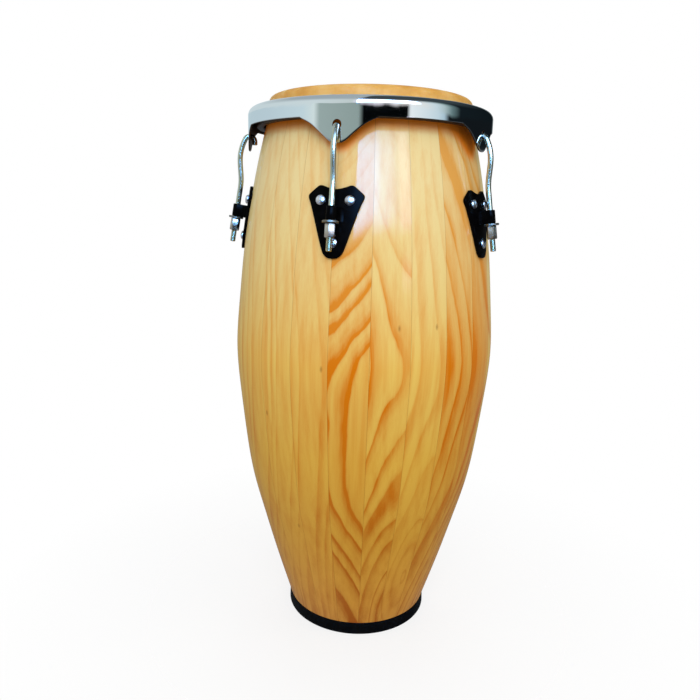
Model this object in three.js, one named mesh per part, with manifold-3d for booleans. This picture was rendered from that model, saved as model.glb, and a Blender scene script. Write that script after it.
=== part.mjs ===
// Conga: a tall barrel drum of wooden staves with a tuned skin head, five lugs and a rubber foot ring.
// Frame: millimetres, +Z up, origin on the floor on the drum's axis. The photographed side faces -Y.
// Order: driving sizes, shape tables, derived sizes, helpers, one function for each kind of piece.
import * as THREE from "three";
import Module from "manifold-3d";

const wasm = await Module();
wasm.setup();

// Whole drum. The height runs from the floor to the playing surface.
const TOTAL_HEIGHT = 762;
const BELLY_RADIUS = 187;
const STAVE_WALL = 11.5;
const STAVE_COUNT = 21;
const FRONT_STAVES = 6; // the photographed ones, of one width; the others share the rest of the turn
const FRONT_STAVE_DEGREES = 16;
const LUG_COUNT = 5;
const FRONT_LUG_DEGREES = 243; // where the photographed front lug stands, counted from +X
const SEAM_FROM_LUG_DEGREES = 15.7; // from the front lug to the middle seam of the front staves
const GAP = 0.3; // between pieces that touch on the real drum
const GLUE_LINE = 0.3; // between neighbouring staves

// Rubber foot ring.
const RING_RADIUS = 107;
const RING_HEIGHT = 18;
const RING_WALL = 3.6;
const RING_FLOOR = 3;
const RING_TAPER = 0.9; // the ring is this much narrower at its top
const RING_ROUND = 1.5;
const REBATE_SLOPE = 1; // how far the wood above the ring's rebate rises inside

// Skin head and the steel flesh hoop that it is wrapped on.
const SKIN_THICKNESS = 1.9;
const SKIN_SEAT = 0.4; // between the skin and the bearing edge
const HOOP_WIDTH = 6.5;
const HOOP_HEIGHT = 8;
const TUCK_OPENING = 3; // how far the tucked end of the skin stops before the collar

// Rim: a rolled steel channel with a skirt, five lobes with hook holes and an inner lip.
const RIM_FROM_SKIN = 10.7; // from the skin's wrapped edge to the outside of the rim
const RIM_BELOW_HEAD = 16.5;
const RIM_SHEET = 2.4;
const RIM_ROLL = 9;
const RIM_INNER_ROLL = 6;
const LIP_DEPTH = 12;
const SKIRT_DEPTH = 25.5;
const LOBE_DROP = 30;
const LOBE_WIDTH = 92;
const HOLE_WIDTH = 11;
const HOLE_HEIGHT = 11.5;
const HOLE_ABOVE_LOBE_END = 15.6;

// Side plates with the boss that carries each hook.
const PLATE_WIDTH = 70;
const PLATE_HEIGHT = 87;
const PLATE_THICKNESS = 4;
const PLATE_BELOW_HEAD = 206.3; // from the playing surface to the plate's lower end
const BOSS_HEIGHT = 17;
const BOSS_WIDTH = 12.4;
const BOSS_ROOT_WIDTH = 20;
const ROD_STANDOFF = 14; // from the plate's face to the rod's axis, measured level
const BORE_CLEARANCE = 0.45;

// Hooks, nuts and washers.
const ROD_RADIUS = 3.6;
const THREAD_RADIUS = 3.95;
const THREAD_LENGTH = 58;
const ROD_BEYOND_NUT = 16;
const ROD_END_BEVEL = 1;
const HOOK_BEND = 7;
const HOOK_TIP = 4.5;
const HOOK_SEAT = 0.9; // between the top of the hook's bend and the hole's lower edge
const HOOK_STRAIGHT = 28; // how far the straight lower part rises above the boss
const HOOK_BOW = 2.2; // outward bow of the part between the hook and the straight rod
const NUT_FLATS = 14;
const NUT_HEIGHT = 17;
const NUT_BEVEL = 2.5;
const WASHER_RADIUS = 10.1;
const WASHER_THICKNESS = 2.5;

// Plate bolts, each with its inner washer and nut.
const BOLT_RADIUS = 3;
const BOLT_HEAD_RADIUS = 6.2;
const BOLT_HEAD_HEIGHT = 3.6;
const BOLT_CLEARANCE = 0.35;
const INNER_WASHER_RADIUS = 6.8;
const INNER_WASHER_THICKNESS = 1.6;
const INNER_NUT_RADIUS = 5.5;
const INNER_NUT_HEIGHT = 6;
const INNER_NUT_BEVEL = 1;

// How far the rim can be pulled down and let up from the photographed tension.
const TUNE_DOWN = 6;

// Shape tables. Heights are shares of the total height, radii shares of the belly radius.
const shell_height_shares = [
  0.0, 0.05906, 0.1378, 0.21654, 0.29528, 0.38058, 0.46588, 0.55118, 0.63648, 0.72178, 0.81365,
  0.90551, 0.97769, 0.98688,
];
const shell_radius_shares = [
  0.5344, 0.6095, 0.7073, 0.7977, 0.8811, 0.9359, 0.9761, 1.0, 0.9779, 0.9445, 0.8902, 0.8167,
  0.7497, 0.7433,
];
// The rounded bearing edge: how far each level lies below the crest and inside the last radius.
const edge_drop_shares = [1, 0.32, 0];
const edge_inset_shares = [0, 0.27, 0.85];
const edge_inner_drop_shares = [1.35, 0.6, 0.02];
const edge_inner_inset_shares = [1.7, 1.56, 1.32];
const inner_level_drop_share = 0.55;
const EDGE_DEPTH = 7.7;
const EDGE_INSET = 6.5;
// Half outline of a side plate: across as shares of half its width, up as shares of its height.
const plate_across_shares = [0, 0.2, 0.34, 0.41, 0.87, 1.0, 0.98, 0.64, 0.54, 0.3, 0];
const plate_up_shares = [0, 0.02, 0.07, 0.13, 0.717, 0.83, 0.87, 0.985, 1.0, 0.965, 0.94];
const boss_up_share = 0.618;
const upper_bolt_up_share = 0.785;
const upper_bolt_across_share = 0.503;
const lower_bolt_up_share = 0.21;
// Half outline of a lobe: across as shares of half its width, down as shares of its drop.
const lobe_across_shares = [0, 0.18, 0.45, 0.74, 0.97, 1.1];
const lobe_down_shares = [1, 0.97, 0.6, 0.24, 0.07, 0];
const plain_rim_shares = [0.25, 0.5, 0.75];
const hook_bow_share = 0.4;
const lip_on_hoop_share = 0.7;
const dome_shares = [0, 0.62, 0.93];
const dome_height_shares = [1, 0.75, 0.25];
// Corners of the skin over the bearing edge: out and up as shares of its reach above the wood.
const skin_corner_out_shares = [0.5, 0.82];
const skin_corner_up_shares = [0.78, 0.5];
const skin_inside_share = 0.71;
const plate_bend_share = 0.96; // of the shell's radius at the plate's top, for its width round the shell

// Derived sizes.
const DEGREE = Math.PI / 180;
const FULL_TURN = 2 * Math.PI;
const FACETS_PER_STAVE = 2;
const BOLT_SIDES = 6;
const PLATE_COLUMNS = 4;
const ROUND_STEPS = 3;
const ROD_SIDES = 8;
const WASHER_SIDES = 12;
const HOLE_SIDES = 10;

const crestZ = TOTAL_HEIGHT - SKIN_THICKNESS - SKIN_SEAT;
const shellHeights = shell_height_shares.map((share) => share * TOTAL_HEIGHT);
const shellRadii = shell_radius_shares.map((share) => share * BELLY_RADIUS);
const edgeRadius = shellRadii[shellRadii.length - 1];

// Outer radius of the shell at a height, along straight lines between the tabled levels.
function shellRadiusAt(z) {
  const last = shellHeights.length - 1;
  let i = 1;
  while (i < last && z > shellHeights[i]) i++;
  const along = (z - shellHeights[i - 1]) / (shellHeights[i] - shellHeights[i - 1]);
  return shellRadii[i - 1] + along * (shellRadii[i] - shellRadii[i - 1]);
}

const rimTopZ = TOTAL_HEIGHT - RIM_BELOW_HEAD;
const lipBottomZ = rimTopZ - LIP_DEPTH;
const wrapTopZ = lipBottomZ - GAP;
const hoopTopZ = wrapTopZ - SKIN_THICKNESS - GAP;
const hoopBottomZ = hoopTopZ - HOOP_HEIGHT;
const wrapBottomZ = hoopBottomZ - GAP - SKIN_THICKNESS;
const wrapInnerR = shellRadiusAt(wrapBottomZ - TUNE_DOWN) + GAP;
const hoopInnerR = wrapInnerR + SKIN_THICKNESS + GAP;
const hoopOuterR = hoopInnerR + HOOP_WIDTH;
const wrapOuterR = hoopOuterR + GAP + SKIN_THICKNESS;
const rimR = wrapOuterR + RIM_FROM_SKIN;
const skirtZ = rimTopZ - SKIRT_DEPTH;
const lobeEndZ = skirtZ - LOBE_DROP;
const holeBottomZ = lobeEndZ + HOLE_ABOVE_LOBE_END;

const plateBottomZ = TOTAL_HEIGHT - PLATE_BELOW_HEAD;
const plateTopZ = plateBottomZ + PLATE_HEIGHT;
const plateTilt = Math.atan2(
  shellRadiusAt(plateBottomZ) - shellRadiusAt(plateTopZ),
  PLATE_HEIGHT,
);
const bossZ = plateBottomZ + boss_up_share * PLATE_HEIGHT;
const bossR = shellRadiusAt(bossZ) + GAP + PLATE_THICKNESS + ROD_STANDOFF;
const washerTop = BOSS_HEIGHT / 2 + GAP;
const nutTop = washerTop + WASHER_THICKNESS + GAP;
const rodEnd = nutTop + NUT_HEIGHT + ROD_BEYOND_NUT;

const lugAngles = Array.from(
  { length: LUG_COUNT },
  (_, k) => FRONT_LUG_DEGREES * DEGREE + (k * FULL_TURN) / LUG_COUNT,
);
const frontStep = FRONT_STAVE_DEGREES * DEGREE;
const backStep = (FULL_TURN - FRONT_STAVES * frontStep) / (STAVE_COUNT - FRONT_STAVES);
const widestStep = Math.max(frontStep, backStep);
const middleSeam = (FRONT_LUG_DEGREES + SEAM_FROM_LUG_DEGREES) * DEGREE;
const firstSeam = middleSeam - (FRONT_STAVES / 2) * frontStep;
// Each stave's seams, from the left end of the front staves round the drum.
const staveSpans = Array.from({ length: STAVE_COUNT }, (_, k) => {
  const back = Math.max(0, k - FRONT_STAVES);
  const start = firstSeam + (k - back) * frontStep + back * backStep;
  return { start, step: k < FRONT_STAVES ? frontStep : backStep };
});
const ringAngles = staveSpans.flatMap(({ start, step }) =>
  Array.from({ length: FACETS_PER_STAVE }, (_, k) => start + (k * step) / FACETS_PER_STAVE),
);

// Materials.
const finish = (color, roughness, metalness) =>
  new THREE.MeshStandardMaterial({ color, roughness, metalness });
const wood = finish(0xdcb377, 0.35, 0);
const rubber = finish(0x17171a, 0.8, 0);
const skin = finish(0xd59a55, 0.6, 0);
const chrome = finish(0xc9ced4, 0.12, 1);
const blackCoat = finish(0x0e0e10, 0.3, 0.2);
const zinc = finish(0xa9a498, 0.35, 1);
const steel = finish(0x8f9296, 0.45, 1);

// A point from its distance to the drum's axis, its angle round the axis and its height.
function polar(r, angle, z) {
  return new THREE.Vector3(r * Math.cos(angle), r * Math.sin(angle), z);
}

// A closed solid from shared points and triangles, turned to face outwards.
function solidFrom(points, triangles) {
  const vertProperties = new Float32Array(points.length * 3);
  points.forEach((point, i) => point.toArray(vertProperties, i * 3));
  const triVerts = new Uint32Array(triangles);
  const side = new THREE.Vector3();
  let volume = 0;
  for (let i = 0; i < triVerts.length; i += 3) {
    side.crossVectors(points[triVerts[i + 1]], points[triVerts[i + 2]]);
    volume += points[triVerts[i]].dot(side);
  }
  if (volume < 0) {
    for (let i = 0; i < triVerts.length; i += 3) {
      [triVerts[i + 1], triVerts[i + 2]] = [triVerts[i + 2], triVerts[i + 1]];
    }
  }
  return new wasm.Manifold(new wasm.Mesh({ numProp: 3, vertProperties, triVerts }));
}

// Two triangles for a four-sided face.
function addQuad(triangles, a, b, c, d) {
  triangles.push(a, b, c, a, c, d);
}

// A solid swept round an axis. profileAt(angle) gives the closed section as [radius, height] pairs,
// and place(radius, angle, height) puts a point in space. Points on the axis are shared.
function revolve(profileAt, angles, place) {
  const points = [];
  const rows = [];
  angles.forEach((angle, i) => {
    rows.push(
      profileAt(angle).map(([r, h], j) => {
        if (r === 0 && i > 0) return rows[0][j];
        points.push(place(r, angle, h));
        return points.length - 1;
      }),
    );
  });
  const triangles = [];
  const addTriangle = (a, b, c) => {
    if (a !== b && b !== c && c !== a) triangles.push(a, b, c);
  };
  rows.forEach((row, i) => {
    const next = rows[(i + 1) % rows.length];
    row.forEach((a, j) => {
      const k = (j + 1) % row.length;
      addTriangle(a, next[j], next[k]);
      addTriangle(a, next[k], row[k]);
    });
  });
  return solidFrom(points, triangles);
}

// A solid lofted through levels, each a strip of outer points and a matching strip of inner ones.
function loftStrips(levels) {
  const count = levels[0].outer.length;
  const points = levels.flatMap(({ outer, inner }) => [...outer, ...[...inner].reverse()]);
  const loop = 2 * count;
  const triangles = [];
  for (let i = 0; i + 1 < levels.length; i++) {
    for (let j = 0; j < loop; j++) {
      const k = (j + 1) % loop;
      addQuad(triangles, i * loop + j, i * loop + k, (i + 1) * loop + k, (i + 1) * loop + j);
    }
  }
  const top = (levels.length - 1) * loop;
  for (let j = 0; j + 1 < count; j++) {
    addQuad(triangles, j, loop - 1 - j, loop - 2 - j, j + 1);
    addQuad(triangles, top + j, top + j + 1, top + loop - 2 - j, top + loop - 1 - j);
  }
  return solidFrom(points, triangles);
}

// A flat outline pushed from one depth to another. place(x, y, depth) puts a point in space.
function prism(outline, from, to, place) {
  const shape = outline.map(([x, y]) => new THREE.Vector2(x, y));
  const faces = THREE.ShapeUtils.triangulateShape(shape, []);
  const n = shape.length;
  const points = [from, to].flatMap((depth) => shape.map(({ x, y }) => place(x, y, depth)));
  const triangles = [];
  const turned = THREE.ShapeUtils.area(shape) < 0;
  faces.forEach(([a, b, c]) => {
    triangles.push(a, c, b);
    triangles.push(n + a, n + b, n + c);
  });
  for (let i = 0; i < n; i++) {
    const k = (i + 1) % n;
    if (turned) addQuad(triangles, i, n + i, n + k, k);
    else addQuad(triangles, i, k, n + k, n + i);
  }
  return solidFrom(points, triangles);
}

// Evenly spaced angles of a full turn.
function fullTurn(count, start) {
  return Array.from({ length: count }, (_, i) => start + (i * FULL_TURN) / count);
}

// Evenly spaced shares from 0 to 1.
function shares(count) {
  return Array.from({ length: count + 1 }, (_, i) => i / count);
}

// A closed outline from its right half, which runs from the centre line to the centre line.
function mirrored(half) {
  const left = half
    .slice(1, -1)
    .reverse()
    .map(([x, y]) => [-x, y]);
  return [...half, ...left];
}

// A named mesh from a solid.
function piece(name, solid, material) {
  const { vertProperties, triVerts } = solid.getMesh();
  const geometry = new THREE.BufferGeometry();
  geometry.setAttribute("position", new THREE.BufferAttribute(vertProperties, 3));
  geometry.setIndex(new THREE.BufferAttribute(triVerts, 1));
  geometry.computeVertexNormals();
  const mesh = new THREE.Mesh(geometry, material);
  mesh.name = name;
  return mesh;
}

// Placing in a lug's upright plane: out is away from the drum's axis, side is along the tangent.
function lugPlace(angle) {
  const out = polar(1, angle, 0);
  const side = new THREE.Vector3(-out.y, out.x, 0);
  return (across, away, z) =>
    side.clone().multiplyScalar(across).addScaledVector(out, away).setZ(z);
}

// Placing about a rod: depth runs down the tilted rod from the middle of the boss, away is square
// to the rod and across is along the tangent.
function rodPlace(angle) {
  const place = lugPlace(angle);
  const sin = Math.sin(plateTilt);
  const cos = Math.cos(plateTilt);
  return (across, away, depth) =>
    place(across, bossR + away * cos + depth * sin, bossZ + away * sin - depth * cos);
}

// Staves.
const rebateR = RING_RADIUS - RING_TAPER - RING_WALL - GAP;
const rebateZ = RING_HEIGHT + GAP;

// The stave's section, level by level: outer radius and height, inner radius and height.
function staveLevels() {
  const levels = [
    [rebateR, RING_FLOOR + GAP, rebateR - STAVE_WALL, RING_FLOOR + GAP],
    [rebateR, rebateZ, shellRadiusAt(rebateZ) - STAVE_WALL, rebateZ],
    [
      shellRadiusAt(rebateZ),
      rebateZ,
      shellRadiusAt(rebateZ + REBATE_SLOPE) - STAVE_WALL,
      rebateZ + REBATE_SLOPE,
    ],
  ];
  shellHeights.slice(1, -1).forEach((z, i) => {
    if (z > rebateZ + 2 * REBATE_SLOPE) {
      const r = shellRadii[i + 1];
      const drop = z > wrapBottomZ ? inner_level_drop_share * EDGE_DEPTH : 0;
      levels.push([r, z, r - STAVE_WALL, z - drop]);
    }
  });
  edge_drop_shares.forEach((share, i) => {
    levels.push([
      edgeRadius - edge_inset_shares[i] * EDGE_INSET,
      crestZ - share * EDGE_DEPTH,
      edgeRadius - edge_inner_inset_shares[i] * EDGE_INSET,
      crestZ - edge_inner_drop_shares[i] * EDGE_DEPTH,
    ]);
  });
  return levels;
}

function stave(index, cutters) {
  const { start, step } = staveSpans[index];
  const middle = start + step / 2;
  const across = polar(1, middle + Math.PI / 2, 0);
  // The seam faces are radial planes moved in by half a glue line.
  const strip = (r, z) =>
    shares(FACETS_PER_STAVE).map((share) => {
      const shift = (GLUE_LINE / 2) * (1 - 2 * share);
      return polar(r, start + share * step, z).addScaledVector(across, shift);
    });
  let solid = loftStrips(
    staveLevels().map(([ro, zo, ri, zi]) => ({ outer: strip(ro, zo), inner: strip(ri, zi) })),
  );
  cutters.forEach((cutter) => {
    const turn = Math.abs(((cutter.angle - middle) / FULL_TURN) % 1);
    if (Math.min(turn, 1 - turn) * FULL_TURN < step) solid = solid.subtract(cutter.solid);
  });
  return piece("stave_" + String(index + 1).padStart(2, "0"), solid, wood);
}

// Rubber foot ring, an L in section that the staves stand in.
function bottomRing() {
  const top = RING_RADIUS - RING_TAPER;
  const section = [
    [RING_RADIUS - RING_ROUND, 0],
    [RING_RADIUS, RING_ROUND],
    [top, RING_HEIGHT],
    [top - RING_WALL, RING_HEIGHT],
    [top - RING_WALL, RING_FLOOR],
    [rebateR - STAVE_WALL, RING_FLOOR],
    [rebateR - STAVE_WALL, 0],
  ];
  return piece("bottom_ring", revolve(() => section, ringAngles, polar), rubber);
}

// Steel hoop inside the edge of the skin.
function fleshHoop() {
  const section = [
    [hoopInnerR, hoopBottomZ],
    [hoopOuterR, hoopBottomZ],
    [hoopOuterR, hoopTopZ],
    [hoopInnerR, hoopTopZ],
  ];
  return piece("flesh_hoop", revolve(() => section, ringAngles, polar), steel);
}

// Skin: playing surface, rounded edge, collar, and the edge wrapped round the flesh hoop.
function headSkin() {
  const straightR = shellRadii[shellRadii.length - 2];
  const straightZ = shellHeights[shellHeights.length - 2];
  const reach = SKIN_SEAT + SKIN_THICKNESS;
  const edge = edge_drop_shares.map((share, i) => [
    edgeRadius - edge_inset_shares[i] * EDGE_INSET,
    crestZ - share * EDGE_DEPTH,
  ]);
  const [low, shoulder, crest] = edge;
  const corners = skin_corner_out_shares.map((share, i) => [
    shoulder[0] + share * reach,
    shoulder[1] + skin_corner_up_shares[i] * reach,
  ]);
  const section = [
    [0, TOTAL_HEIGHT],
    [crest[0], TOTAL_HEIGHT],
    ...corners,
    [low[0] + reach, low[1]],
    [straightR + reach, straightZ],
    [hoopInnerR - GAP, hoopTopZ],
    [hoopInnerR - GAP, hoopBottomZ - GAP],
    [hoopOuterR + GAP, hoopBottomZ - GAP],
    [hoopOuterR + GAP, hoopTopZ + GAP],
    [hoopInnerR - GAP + TUCK_OPENING, hoopTopZ + GAP],
    [hoopInnerR - GAP + TUCK_OPENING, wrapTopZ],
    [wrapOuterR, wrapTopZ],
    [wrapOuterR, wrapBottomZ],
    [wrapInnerR, wrapBottomZ],
    [wrapInnerR, hoopTopZ],
    [straightR + SKIN_SEAT, straightZ],
    [low[0] + SKIN_SEAT, low[1]],
    [shoulder[0] + skin_inside_share * SKIN_SEAT, shoulder[1] + skin_inside_share * SKIN_SEAT],
    [crest[0], TOTAL_HEIGHT - SKIN_THICKNESS],
    [0, TOTAL_HEIGHT - SKIN_THICKNESS],
  ];
  return piece("head_skin", revolve(() => section, ringAngles, polar), skin);
}

// Lower end of the rim's skirt at a distance across from the nearest lug.
function skirtEndAt(across) {
  const half = LOBE_WIDTH / 2;
  const at = Math.abs(across) / half;
  let i = 1;
  while (i < lobe_across_shares.length - 1 && at > lobe_across_shares[i]) i++;
  const along = Math.min(
    1,
    (at - lobe_across_shares[i - 1]) / (lobe_across_shares[i] - lobe_across_shares[i - 1]),
  );
  const down = lobe_down_shares[i - 1] + along * (lobe_down_shares[i] - lobe_down_shares[i - 1]);
  return skirtZ - down * LOBE_DROP;
}

// A quarter bend from straight up to level inwards, as [radius, height] pairs.
function quarterBend(centreR, centreZ, size, steps, inwards) {
  return shares(steps).map((share) => {
    const turn = share * (Math.PI / 2);
    const out = inwards ? Math.cos(turn) : -Math.sin(turn);
    const up = inwards ? Math.sin(turn) : Math.cos(turn);
    return [centreR + size * out, centreZ + size * up];
  });
}

// Rim: skirt, rolled shoulder, flat top, inner roll and the lip that presses on the hoop.
function rim() {
  const bendR = rimR - RIM_ROLL;
  const bendZ = rimTopZ - RIM_ROLL;
  const lipInnerR = hoopInnerR + lip_on_hoop_share * HOOP_WIDTH - RIM_SHEET / 2;
  const innerR = lipInnerR + RIM_INNER_ROLL / 2;
  const innerZ = rimTopZ - RIM_INNER_ROLL / 2;
  const sectionAt = (angle) => {
    const nearest = lugAngles
      .map((lug) => Math.atan2(Math.sin(angle - lug), Math.cos(angle - lug)))
      .reduce((a, b) => (Math.abs(b) < Math.abs(a) ? b : a));
    const end = skirtEndAt(nearest * rimR);
    return [
      [rimR, end],
      ...quarterBend(bendR, bendZ, RIM_ROLL, ROUND_STEPS, true),
      ...quarterBend(innerR, innerZ, RIM_INNER_ROLL / 2, 2, false),
      [lipInnerR, lipBottomZ],
      [lipInnerR + RIM_SHEET, lipBottomZ],
      [lipInnerR + RIM_SHEET, rimTopZ - RIM_SHEET],
      ...quarterBend(bendR, bendZ, RIM_ROLL - RIM_SHEET, 2, true).reverse(),
      [rimR - RIM_SHEET, end],
    ];
  };
  const half = LOBE_WIDTH / 2;
  const within = lobe_across_shares.map((share) => (share * half) / rimR);
  const span = within[within.length - 1];
  const between = FULL_TURN / LUG_COUNT - 2 * span;
  const plain = plain_rim_shares.map((share) => span + share * between);
  const turns = [...within.slice(1).reverse().map((a) => -a), ...within, ...plain];
  const angles = lugAngles.flatMap((lug) => turns.map((turn) => lug + turn));
  let solid = revolve(sectionAt, angles, polar);
  lugAngles.forEach((lug) => {
    const place = lugPlace(lug);
    const outline = fullTurn(HOLE_SIDES, Math.PI / 2).map((turn) => [
      (HOLE_WIDTH / 2) * Math.cos(turn),
      holeBottomZ + (HOLE_HEIGHT / 2) * (1 + Math.sin(turn)),
    ]);
    const from = rimR - RIM_ROLL;
    const to = rimR + RIM_ROLL;
    solid = solid.subtract(prism(outline, from, to, (x, z, away) => place(x, away, z)));
  });
  return piece("rim", solid, chrome);
}

// Where a plate bolt stands: its angle round the drum and its height.
function boltSpots(lug) {
  const upperZ = plateBottomZ + upper_bolt_up_share * PLATE_HEIGHT;
  const lowerZ = plateBottomZ + lower_bolt_up_share * PLATE_HEIGHT;
  const across = (upper_bolt_across_share * PLATE_WIDTH) / 2;
  const turn = across / (shellRadiusAt(upperZ) + PLATE_THICKNESS);
  return [
    { letter: "a", angle: lug - turn, z: upperZ },
    { letter: "b", angle: lug + turn, z: upperZ },
    { letter: "c", angle: lug, z: lowerZ },
  ];
}

// Placing about a bolt: height runs outwards, square to the plate, from the shell's surface.
function boltPlace(spot) {
  const place = lugPlace(spot.angle);
  const sin = Math.sin(plateTilt);
  const cos = Math.cos(plateTilt);
  const r = shellRadiusAt(spot.z);
  return (radius, turn, height) => {
    const along = radius * Math.sin(turn);
    return place(
      radius * Math.cos(turn),
      r + height * cos - along * sin,
      spot.z + height * sin + along * cos,
    );
  };
}

const boltTurns = fullTurn(BOLT_SIDES, Math.PI / BOLT_SIDES);
const plateFace = GAP + PLATE_THICKNESS;
// A facet's middle lies this much nearer to the axis than its edges.
const facetSag = BELLY_RADIUS * (1 - Math.cos(widestStep / FACETS_PER_STAVE / 2));
const seatDepth = STAVE_WALL * Math.cos(plateTilt) + facetSag;

// The hole for a bolt through its plate and the wood.
function boltCutter(spot) {
  const hole = BOLT_RADIUS + BOLT_CLEARANCE;
  const section = [
    [0, plateFace + STAVE_WALL],
    [hole, plateFace + STAVE_WALL],
    [hole, -seatDepth - STAVE_WALL],
    [0, -seatDepth - STAVE_WALL],
  ];
  return { angle: spot.angle, solid: revolve(() => section, boltTurns, boltPlace(spot)) };
}

// One bolt with its domed head outside and its washer and nut inside.
function plateBolt(name, spot) {
  const base = plateFace + GAP;
  const washer = -seatDepth - GAP;
  const nut = washer - INNER_WASHER_THICKNESS;
  const end = nut - INNER_NUT_HEIGHT;
  const section = [
    ...dome_shares.map((share, i) => [
      share * BOLT_HEAD_RADIUS,
      base + dome_height_shares[i] * BOLT_HEAD_HEIGHT,
    ]),
    [BOLT_HEAD_RADIUS, base],
    [BOLT_RADIUS, base],
    [BOLT_RADIUS, washer],
    [INNER_WASHER_RADIUS, washer],
    [INNER_WASHER_RADIUS, nut],
    [INNER_NUT_RADIUS, nut],
    [INNER_NUT_RADIUS - INNER_NUT_BEVEL, end],
    [0, end],
  ];
  return piece(name, revolve(() => section, boltTurns, boltPlace(spot)), chrome);
}

// A plate bent to the shell, cut to its shield outline, with its bored boss.
function sidePlate(name, lug, spots) {
  const half = PLATE_WIDTH / 2;
  const columns = shares(PLATE_COLUMNS).map((share) => 2 * share - 1);
  const rows = [
    plateBottomZ - GAP,
    ...shellHeights.filter((z) => z > plateBottomZ && z < plateTopZ),
    plateTopZ + GAP,
  ];
  const topR = shellRadiusAt(plateTopZ);
  const strip = (r, z) =>
    columns.map((share) => polar(r, lug + (share * half) / (plate_bend_share * topR), z));
  const sheet = loftStrips(
    rows.map((z) => ({
      outer: strip(shellRadiusAt(z) + plateFace, z),
      inner: strip(shellRadiusAt(z) + GAP, z),
    })),
  );
  const outline = mirrored(
    plate_across_shares.map((share, i) => [
      share * half,
      plateBottomZ + plate_up_shares[i] * PLATE_HEIGHT,
    ]),
  );
  const place = lugPlace(lug);
  const cutter = prism(outline, BELLY_RADIUS / 2, 2 * BELLY_RADIUS, (x, z, away) =>
    place(x, away, z),
  );
  const reach = (ROD_STANDOFF + PLATE_THICKNESS / 2) * Math.cos(plateTilt);
  const round = shares(ROUND_STEPS).map((share) => Math.PI * share);
  const boss = [
    ...round.map((turn) => [(BOSS_WIDTH / 2) * Math.cos(turn), (BOSS_WIDTH / 2) * Math.sin(turn)]),
    [-BOSS_ROOT_WIDTH / 2, -reach],
    [BOSS_ROOT_WIDTH / 2, -reach],
  ];
  const rod = rodPlace(lug);
  let solid = sheet
    .intersect(cutter)
    .add(prism(boss, -BOSS_HEIGHT / 2, BOSS_HEIGHT / 2, (x, y, depth) => rod(x, y, depth)));
  const bore = fullTurn(HOLE_SIDES, 0).map((turn) => [
    (THREAD_RADIUS + BORE_CLEARANCE) * Math.cos(turn),
    (THREAD_RADIUS + BORE_CLEARANCE) * Math.sin(turn),
  ]);
  solid = solid.subtract(prism(bore, -BOSS_HEIGHT, BOSS_HEIGHT, rod));
  spots.forEach((spot) => {
    solid = solid.subtract(boltCutter(spot).solid);
  });
  return piece(name, solid, blackCoat);
}

// Washer under the boss.
function washer(name, lug) {
  const rod = rodPlace(lug);
  const bore = THREAD_RADIUS + BORE_CLEARANCE;
  const section = [
    [bore, washerTop],
    [WASHER_RADIUS, washerTop],
    [WASHER_RADIUS, washerTop + WASHER_THICKNESS],
    [bore, washerTop + WASHER_THICKNESS],
  ];
  const place = (r, turn, depth) => rod(r * Math.cos(turn), r * Math.sin(turn), depth);
  return piece(name, revolve(() => section, fullTurn(WASHER_SIDES, 0), place), zinc);
}

// Six-sided nut, bevelled at its lower end.
function tuningNut(name, lug) {
  const rod = rodPlace(lug);
  const bore = THREAD_RADIUS + GAP;
  const sixth = Math.PI / 3;
  const sectionAt = (turn) => {
    const off = ((turn % sixth) + sixth) % sixth;
    const flat = NUT_FLATS / 2 / Math.cos(Math.min(off, sixth - off));
    return [
      [bore, nutTop],
      [flat, nutTop],
      [flat, nutTop + NUT_HEIGHT - NUT_BEVEL],
      [flat - NUT_BEVEL / 2, nutTop + NUT_HEIGHT],
      [bore, nutTop + NUT_HEIGHT],
    ];
  };
  const place = (r, turn, depth) => rod(r * Math.cos(turn), r * Math.sin(turn), depth);
  return piece(name, revolve(sectionAt, fullTurn(WASHER_SIDES, 0), place), zinc);
}

// Centre line of a hook in its upright plane: [distance from the axis, height, radius].
function hookPath() {
  const sin = Math.sin(plateTilt);
  const cos = Math.cos(plateTilt);
  const onRod = (depth, radius) => [bossR + depth * sin, bossZ - depth * cos, radius];
  // The top of the bend lies in the middle of the lobe's sheet, a little above the hole's edge.
  const tipR = rimR - RIM_SHEET / 2 - HOOK_BEND;
  const topZ = holeBottomZ + ROD_RADIUS + HOOK_SEAT;
  const bendZ = topZ - HOOK_BEND;
  const small = ROD_RADIUS - ROD_END_BEVEL;
  const bend = shares(2 * ROUND_STEPS).map((share) => {
    const turn = Math.PI - share * (Math.PI - plateTilt);
    const out = tipR + HOOK_BEND + HOOK_BEND * Math.cos(turn);
    return [out, bendZ + HOOK_BEND * Math.sin(turn), ROD_RADIUS];
  });
  const last = bend[bend.length - 1];
  const joint = onRod(-BOSS_HEIGHT / 2 - HOOK_STRAIGHT, ROD_RADIUS);
  const bow = [
    last[0] + hook_bow_share * (joint[0] - last[0]) + HOOK_BOW,
    last[1] + hook_bow_share * (joint[1] - last[1]),
    ROD_RADIUS,
  ];
  const threadTop = rodEnd - THREAD_LENGTH;
  return [
    [tipR, bendZ - HOOK_TIP, small],
    [tipR, bendZ - HOOK_TIP + ROD_END_BEVEL, ROD_RADIUS],
    ...bend,
    bow,
    joint,
    onRod(threadTop - ROD_END_BEVEL, ROD_RADIUS),
    onRod(threadTop, THREAD_RADIUS),
    onRod(rodEnd - ROD_END_BEVEL, THREAD_RADIUS),
    onRod(rodEnd, THREAD_RADIUS - ROD_END_BEVEL),
  ];
}

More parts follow.
